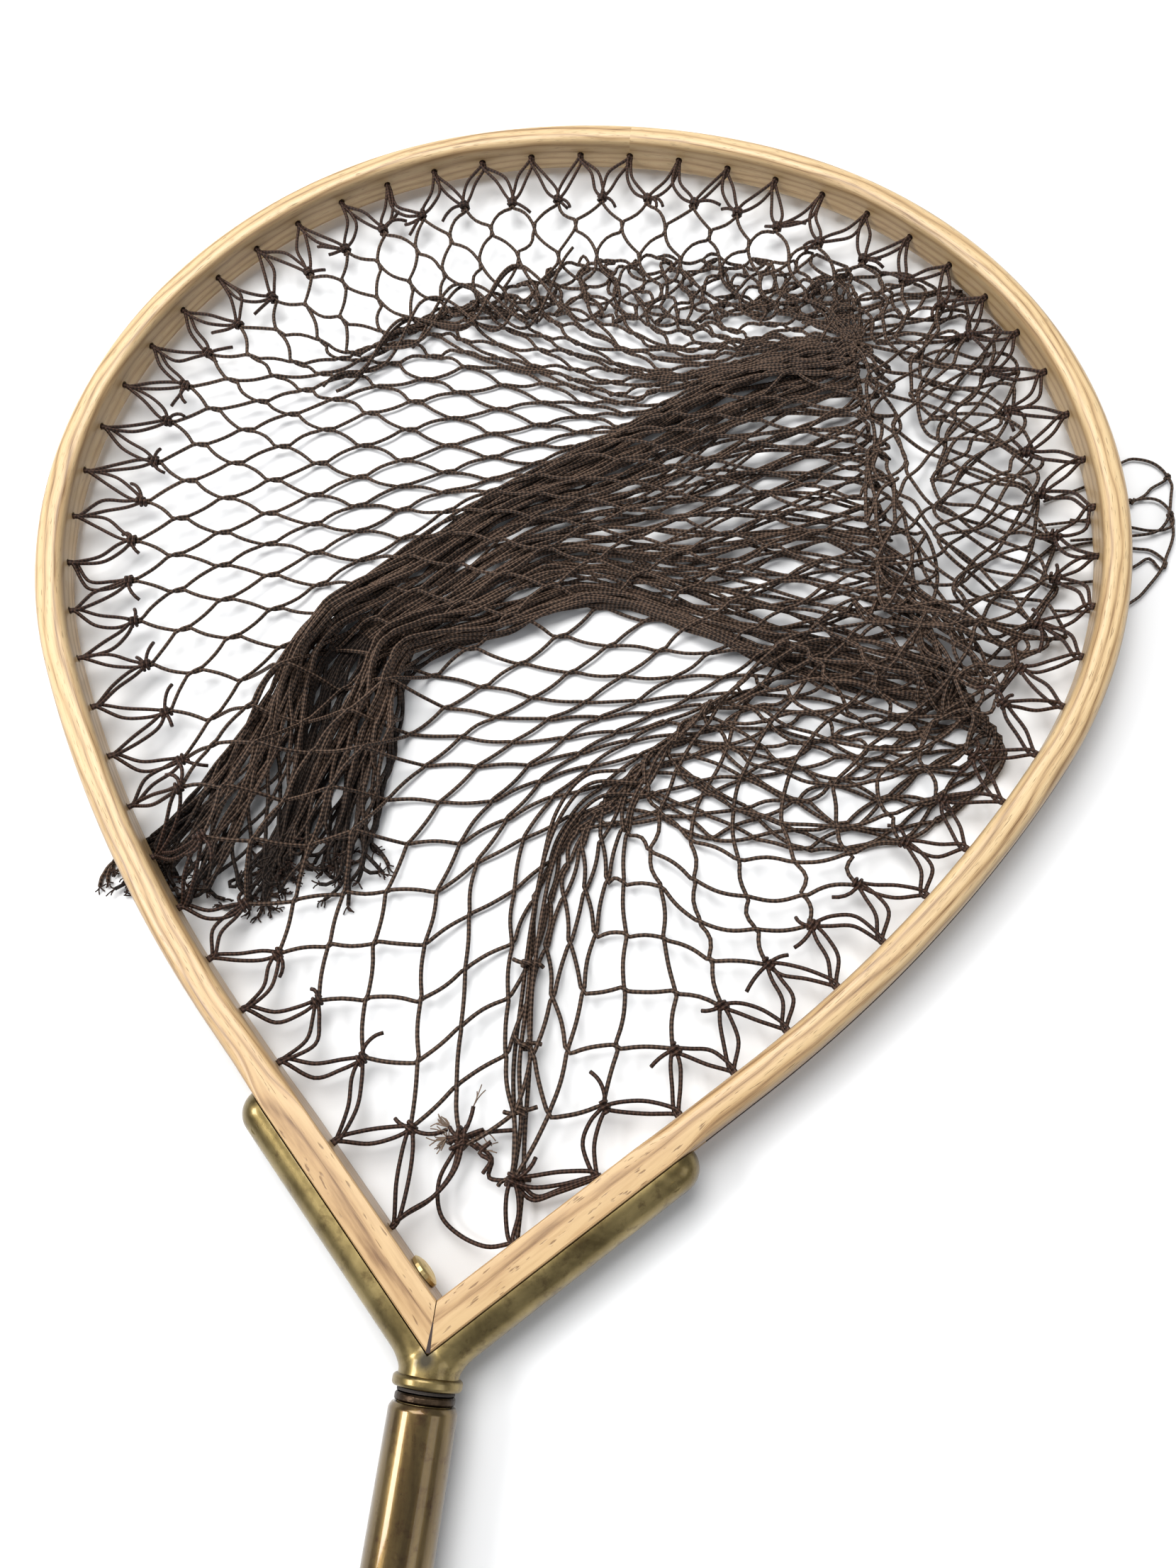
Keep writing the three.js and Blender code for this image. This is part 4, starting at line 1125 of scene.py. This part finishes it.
def smooth_line(points, step):
    """A smooth line through points, with its own points about a step apart."""
    points = np.asarray(points, float)
    padded = np.concatenate([[2 * points[0] - points[1]], points, [2 * points[-1] - points[-2]]])
    made = []
    for a, b, c, d in zip(padded, padded[1:], padded[2:], padded[3:]):
        count = max(1, int(round(np.linalg.norm(c - b) / step)))
        t = (np.arange(count) / count)[:, None]
        made.append(0.5 * (2 * b + (c - a) * t + (2 * a - 5 * b + 4 * c - d) * t ** 2
                           + (3 * b - a - 3 * c + d) * t ** 3))
    made.append(points[-1:])
    return np.concatenate(made)


# ------------------------------------------------------------------ rim ties, seam and loose ends
LAST_HOLE = MESHES // 2                 # counted from the crown, on either side
TIE_RADIUS = 0.72
LOOP_RADIUS = 0.6
TAG_LENGTH = (6.0, 14.0)
SEAM_ROUTES = [
    [(40, 190), (24, 188), (14, 176), (10, 158), (8, 133), (9, 108), (10, 83), (14, 62), (16, 46)],
    [(44, 186), (28, 184), (17, 172), (13, 156), (12, 133), (13, 108), (16, 84), (17, 63), (18, 46),
     (20, 28)],
    [(34, 194), (20, 190), (12, 176), (9, 158), (10, 133), (11, 108), (12, 84), (15, 64), (15, 46)],
]
OUTSIDE_ROUTES = [
    [(186, 330), (204, 340), (217, 352), (223, 354), (230, 352), (234, 346), (228, 340.5), (223, 335),
     (204, 324)],
    [(184, 318), (206, 324), (219.5, 333), (229, 335), (234.5, 330), (235.5, 324), (232, 321), (226, 320),
     (217, 321), (196, 322)],
    [(234, 346), (235.5, 342), (235, 337), (234, 328), (232, 323), (228, 319), (217, 316), (196, 312)],
    [(186, 306), (206, 313), (220, 311.5), (227, 311), (232.5, 306), (230, 303), (226, 307.5), (220, 303),
     (208, 296), (190, 292)],
    [(234, 328), (235.5, 321), (234.5, 315), (232.5, 309), (230.5, 303), (225.5, 295), (220, 288),
     (210, 282), (190, 280)],
]


def rotated(way, angle):
    """x and y of a direction, turned about +Z."""
    c, s = math.cos(angle), math.sin(angle)
    return way[0] * c - way[1] * s, way[0] * s + way[1] * c


def random_curl(start, way, length, rise=0.25, bend=0.5, steps=5):
    """A short free end that leaves start along way and curls as it goes."""
    way = np.array([way[0], way[1], rise], float)
    way /= np.linalg.norm(way)
    turn = RNG.normal(0, bend)
    points = [np.asarray(start, float)]
    for _ in range(steps):
        points.append(points[-1] + way * length / steps)
        way = np.array([*rotated(way, turn / 2), way[2] - 0.16 + RNG.normal(0, 0.08)])
        way /= np.linalg.norm(way)
    return points


def wrap_knot(centre, way, radius, turns, spread, step=1.1):
    """A few turns of cord round a joint."""
    way = np.asarray(way, float) / (np.linalg.norm(way) + 1e-9)
    side = np.cross(way, UP)
    side /= np.linalg.norm(side) + 1e-9
    up = np.cross(side, way)
    angles = np.linspace(0, turns * 2 * math.pi, int(turns * 8)) + RNG.uniform(0, 6)
    along = np.linspace(-0.5, 0.5, len(angles)) * spread
    points = [centre + way * a + (side * math.cos(t) + up * math.sin(t)) * radius
              for a, t in zip(along, angles)]
    return smooth_line(points, step)


def hole_point(hole, outward, height=AXIS_Z):
    x, y, _ = along_bow(rim_distance([abs(hole)]), outward)
    sign = -1 if hole < 0 else 1
    return np.array([sign * x[0], y[0], height])


def make_ties(knots):
    """From each hole two doubled cords run to the rim knots on either side of it."""
    lines = []
    for hole in range(-LAST_HOLE, LAST_HOLE + 1):
        start = hole_point(hole, -BOW_WIDTH / 2 + 1.5)
        lead = hole_point(hole, -BOW_WIDTH / 2 - 2.0, AXIS_Z - 0.6)
        for mesh in ((hole + LAST_HOLE - 1) % MESHES, (hole + LAST_HOLE) % MESHES):
            if mesh == MESHES - 1:
                continue
            knot = knots[mesh, 0]
            gap = knot - lead
            side = np.array([gap[1], -gap[0], 0.0])
            side /= np.linalg.norm(side)
            sway = RNG.normal(0, 2.4)
            for twin in (-1, 1):
                a = lead + side * twin * 0.7 + [0, 0, 0.5 * twin]
                b = lead + gap * 0.4 + side * (twin * RNG.uniform(1.0, 2.8) + sway)
                b = b + [0, 0, RNG.normal(0, 0.5)]
                c = lead + gap * 0.75 + side * (twin * RNG.uniform(1.0, 2.4) + sway * 0.6)
                d = knot + side * twin * 0.6 + [0, 0, 0.8]
                lines.append(smooth_line([start, a, b, c, d], 1.6))
    inner = (knots[:, 1] + knots[(np.arange(MESHES) + 1) % MESHES, 1]) / 2
    for mesh in range(MESHES - 1):
        knot = knots[mesh, 0] + [0, 0, 0.4]
        way = inner[mesh] - knot
        way[2] = 0
        lines.append(wrap_knot(knot, way, 1.7, 2.1, 3.6))
        for _ in range(RNG.integers(1, 3)):
            angle = math.atan2(way[1], way[0]) + RNG.choice([-1, 1]) * RNG.uniform(0.5, 2.2)
            length = RNG.uniform(*TAG_LENGTH)
            lines.append(smooth_line(random_curl(knot, (math.cos(angle), math.sin(angle)), length), 1.6))
    made = cords("ties", lines, TIE_RADIUS, TIE_CORD, 8)
    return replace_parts(made, "rim_ties")


def frayed_end(point, way, count, length):
    """Loose fibres at a cut end."""
    fibres = []
    for _ in range(count):
        out = rotated(way, RNG.normal(0, 0.7))
        reach, rise = length * RNG.uniform(0.6, 1.4), RNG.uniform(-0.1, 0.5)
        fibres.append(smooth_line(random_curl(point, out, reach, rise, 0.6, 3), 1.2))
    return fibres


def make_seam():
    """The bag's side seam: a few cords laced down to the point, knotted on the way."""
    lines = []
    for i, route in enumerate(SEAM_ROUTES):
        route = [(x + RNG.normal(0, 0.5), y, 4.6 + 1.4 * math.sin(i * 2.1 + y * 0.05)) for x, y in route]
        lines.append(smooth_line(route, 2.0))
    for x, y in ((10, 118), (13, 90), (15, 68), (16, 46)):
        centre = np.array([x, y, 5.5])
        lines.append(wrap_knot(centre, (0.1, 1, 0), 1.9, 1.6, 2.6))
        for angle in RNG.uniform(-0.5, 0.5, 2) + [0, math.pi]:
            lines.append(smooth_line(random_curl(centre, (math.cos(angle), math.sin(angle)), 6), 1.6))
    made = cords("seam_cords", lines, TWINE_RADIUS, TWINE, 8)
    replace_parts(made, "net_seam_lacing")


def make_seam_knot():
    """The knot where the bag's cord is tied off, with frayed cut ends, and its loops to the point."""
    knot = np.array([-3.0, 57.0, 7.0])
    holes = (-LAST_HOLE, LAST_HOLE, LAST_HOLE - 1)
    left, right, far = (tuple(hole_point(hole, -BOW_WIDTH / 2 - 0.5)) for hole in holes)
    lines, fibres = [], []
    for way in ((1, 0.2, 0), (0.3, 1, 0), (-0.6, 0.8, 0), (0.8, -0.5, 0)):
        lines.append(wrap_knot(knot + RNG.normal(0, 0.9, 3), way, 2.7, 1.7, 3.8))
    for angle, length, tuft in ((3.2, 5, 16), (2.85, 6, 12), (1.15, 11, 3), (0.5, 8, 2), (-0.35, 7, 6)):
        way = (math.cos(angle), math.sin(angle))
        curl = random_curl(knot, way, length, 0.25, 0.3)
        lines.append(smooth_line(curl, 1.5))
        fibres += frayed_end(curl[-1], way, tuft, 5.5)
    for loop, count in (
        ([left, (-16, 31, 11), (-9, 37, 9), (-4, 46, 8), (-3, 56, 8)], 2),
        ([(-4, 54, 7), (-8, 43, 6), (-6, 33, 5), (1, 27.5, 5), (11, 25, 8), right], 1),
        ([(2, 56, 7), (8, 52, 6), (8, 46, 5), (16, 46, 6)], 1),
        ([(16, 46, 6), (23, 41, 6), (31, 44, 9), far], 2),
        ([(-3, 57, 7), (5, 60, 6), (14, 62, 5)], 1),
        ([(7, 57, 7), (4, 53, 8), (8, 51, 9), (6, 47, 7)], 1),
    ):
        for i in range(count):
            lines.append(smooth_line(np.array(loop) + np.array([1.1, 1.2, 0.5]) * i, 1.6))
    made = cords("tie_off", lines, TIE_RADIUS, TIE_CORD, 8)
    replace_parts(made, "net_seam_knot")
    cords("tie_off_fibres", fibres, 0.2, TUFT, 4)


def make_outside_loops():
    """Slack meshes that have slipped out under the right of the bow."""
    lines = []
    for i, route in enumerate(OUTSIDE_ROUTES):
        lines.append(smooth_line([(x, y, 1.2 + 0.5 * (i % 3)) for x, y in route], 2.0))
    for joint in ((234, 346, 2.2), (234.3, 328, 2.2), (219.5, 333, 2.2), (217.5, 316, 2.0)):
        lines.append(wrap_knot(np.array(joint), (0.4, 1, 0), 0.9, 1.2, 2.0, 1.0))
    cords("outside_loops", lines, LOOP_RADIUS, TWINE, 8)


def make_fold_cords():
    """Where the net doubles back at the top left, its cords cross from edge to edge of the fold."""
    lines = []
    for i, (start, end) in enumerate(((0.07, 0.66), (0.11, 0.74), (0.18, 0.8), (0.27, 0.7), (0.36, 0.84))):
        along = np.linspace(start, end, 20)[:, None]
        across = 0.5 + 0.5 * np.sin(2 * math.pi * (2.9 * along + i / 5) + 0.7 * math.sin(i * 2.4))
        line = by_length(FOLD_LOW, along[:, 0]) * (1 - across) + by_length(FOLD_TOP, along[:, 0]) * across
        height = 3.4 + 6.0 * along + 1.6 * np.sin(2 * math.pi * (3.1 * along + i * 0.37))
        lines.append(smooth_line(np.concatenate([line, height], 1), 2.4))
    cords("fold_cords", lines, TWINE_RADIUS, TWINE, 6)


def make_net():
    grid, even = lay_of_net()
    knots = knots_of(grid)
    columns = knots_of(even[:, None])[:, 0]
    stir(knots)
    knots = relaxed(knots)
    knots = np.concatenate([knots, heights(knots, columns)[..., None]], -1)
    parts, ends = {"mesh_open": [], "mesh_gathered": [], "mesh_tail": []}, []
    spans = list(zip(parts, (0, FOLD_ROW, NECK_ROW), (FOLD_ROW, NECK_ROW, LAST_ROW)))
    for line, marks in strands(knots):
        for name, first, last in spans:
            run = line[marks[first]:marks[last] + 1]
            if name == "mesh_tail":
                way = (run[-1] - run[-4])[:2] + RNG.normal(0, 2.5, 2)
                curl = random_curl(run[-1], way, RNG.uniform(3, 16), 0.1, 0.9, 4)
                run = np.concatenate([run[:-1], curl])
            run = clear_of_wood(run)
            if name == "mesh_tail":
                ends.append((run[-1], (run[-1] - run[-2])[:2]))
            parts[name].append(smooth_line(run, 2.4))
    made = {name: cords(name, lines, TWINE_RADIUS, TAIL_TWINE if name == "mesh_tail" else TWINE, 6)
            for name, lines in parts.items()}
    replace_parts(made["mesh_open"], "net_flat", "net_top_fold", "net_side_heap", "net_low_fold")
    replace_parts(made["mesh_gathered"], "net_gather")
    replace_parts(made["mesh_tail"], "net_tail_left", "net_tail_right", "net_tail_end")
    fibres = []
    for point, way in ends:
        fibres += frayed_end(point, way / (np.linalg.norm(way) + 1e-6), 4, 3.0)
    tufts = cords("tail_fibres", fibres, 0.28, TIE_CORD, 4)
    ties = make_ties(knots)


make_net()
make_seam()
make_seam_knot()
make_outside_loops()
make_fold_cords()


# ------------------------------------------------------------------ stage
TABLE_SIZE = 4.0
TABLE_Z = -0.0002
WORLD_COLOUR = (0.93, 0.96, 1.0, 1)
WORLD_LIGHT = 0.34
LAMPS = (                               # name, place, size, power and colour
    ("overhead", (-0.35, 0.8, 1.6), 1.3, 33, (1.0, 0.99, 0.97)),
    ("window", (-1.25, -0.1, 1.1), 0.5, 14, (1.0, 1.0, 1.0)),
    ("fill", (1.3, -0.3, 1.0), 0.8, 3, (0.97, 0.98, 1.0)),
)


def make_stage():
    """A plain pale table, soft light from the world, and three square lamps."""
    bpy.ops.mesh.primitive_plane_add(size=TABLE_SIZE, location=(0, 0, TABLE_Z))
    floor = bpy.context.object
    floor.name = "floor"
    n = Nodes("table")
    n.principled(Base_Color=(0.88, 0.885, 0.895, 1), Roughness=0.4, Specular_IOR_Level=0.3)
    floor.data.materials.append(n.material)
    world = bpy.data.worlds.new("studio")
    world.use_nodes = True
    background = world.node_tree.nodes["Background"]
    background.inputs["Color"].default_value = WORLD_COLOUR
    background.inputs["Strength"].default_value = WORLD_LIGHT
    bpy.context.scene.world = world
    for name, at, size, power, colour in LAMPS:
        data = bpy.data.lights.new(name, "AREA")
        data.size = size
        data.energy = power
        data.color = colour
        lamp = bpy.data.objects.new(name, data)
        lamp.location = at
        lamp.rotation_euler = (Vector((0, 0.1, 0)) - Vector(at)).to_track_quat("-Z", "Y").to_euler()
        bpy.context.scene.collection.objects.link(lamp)


make_stage()
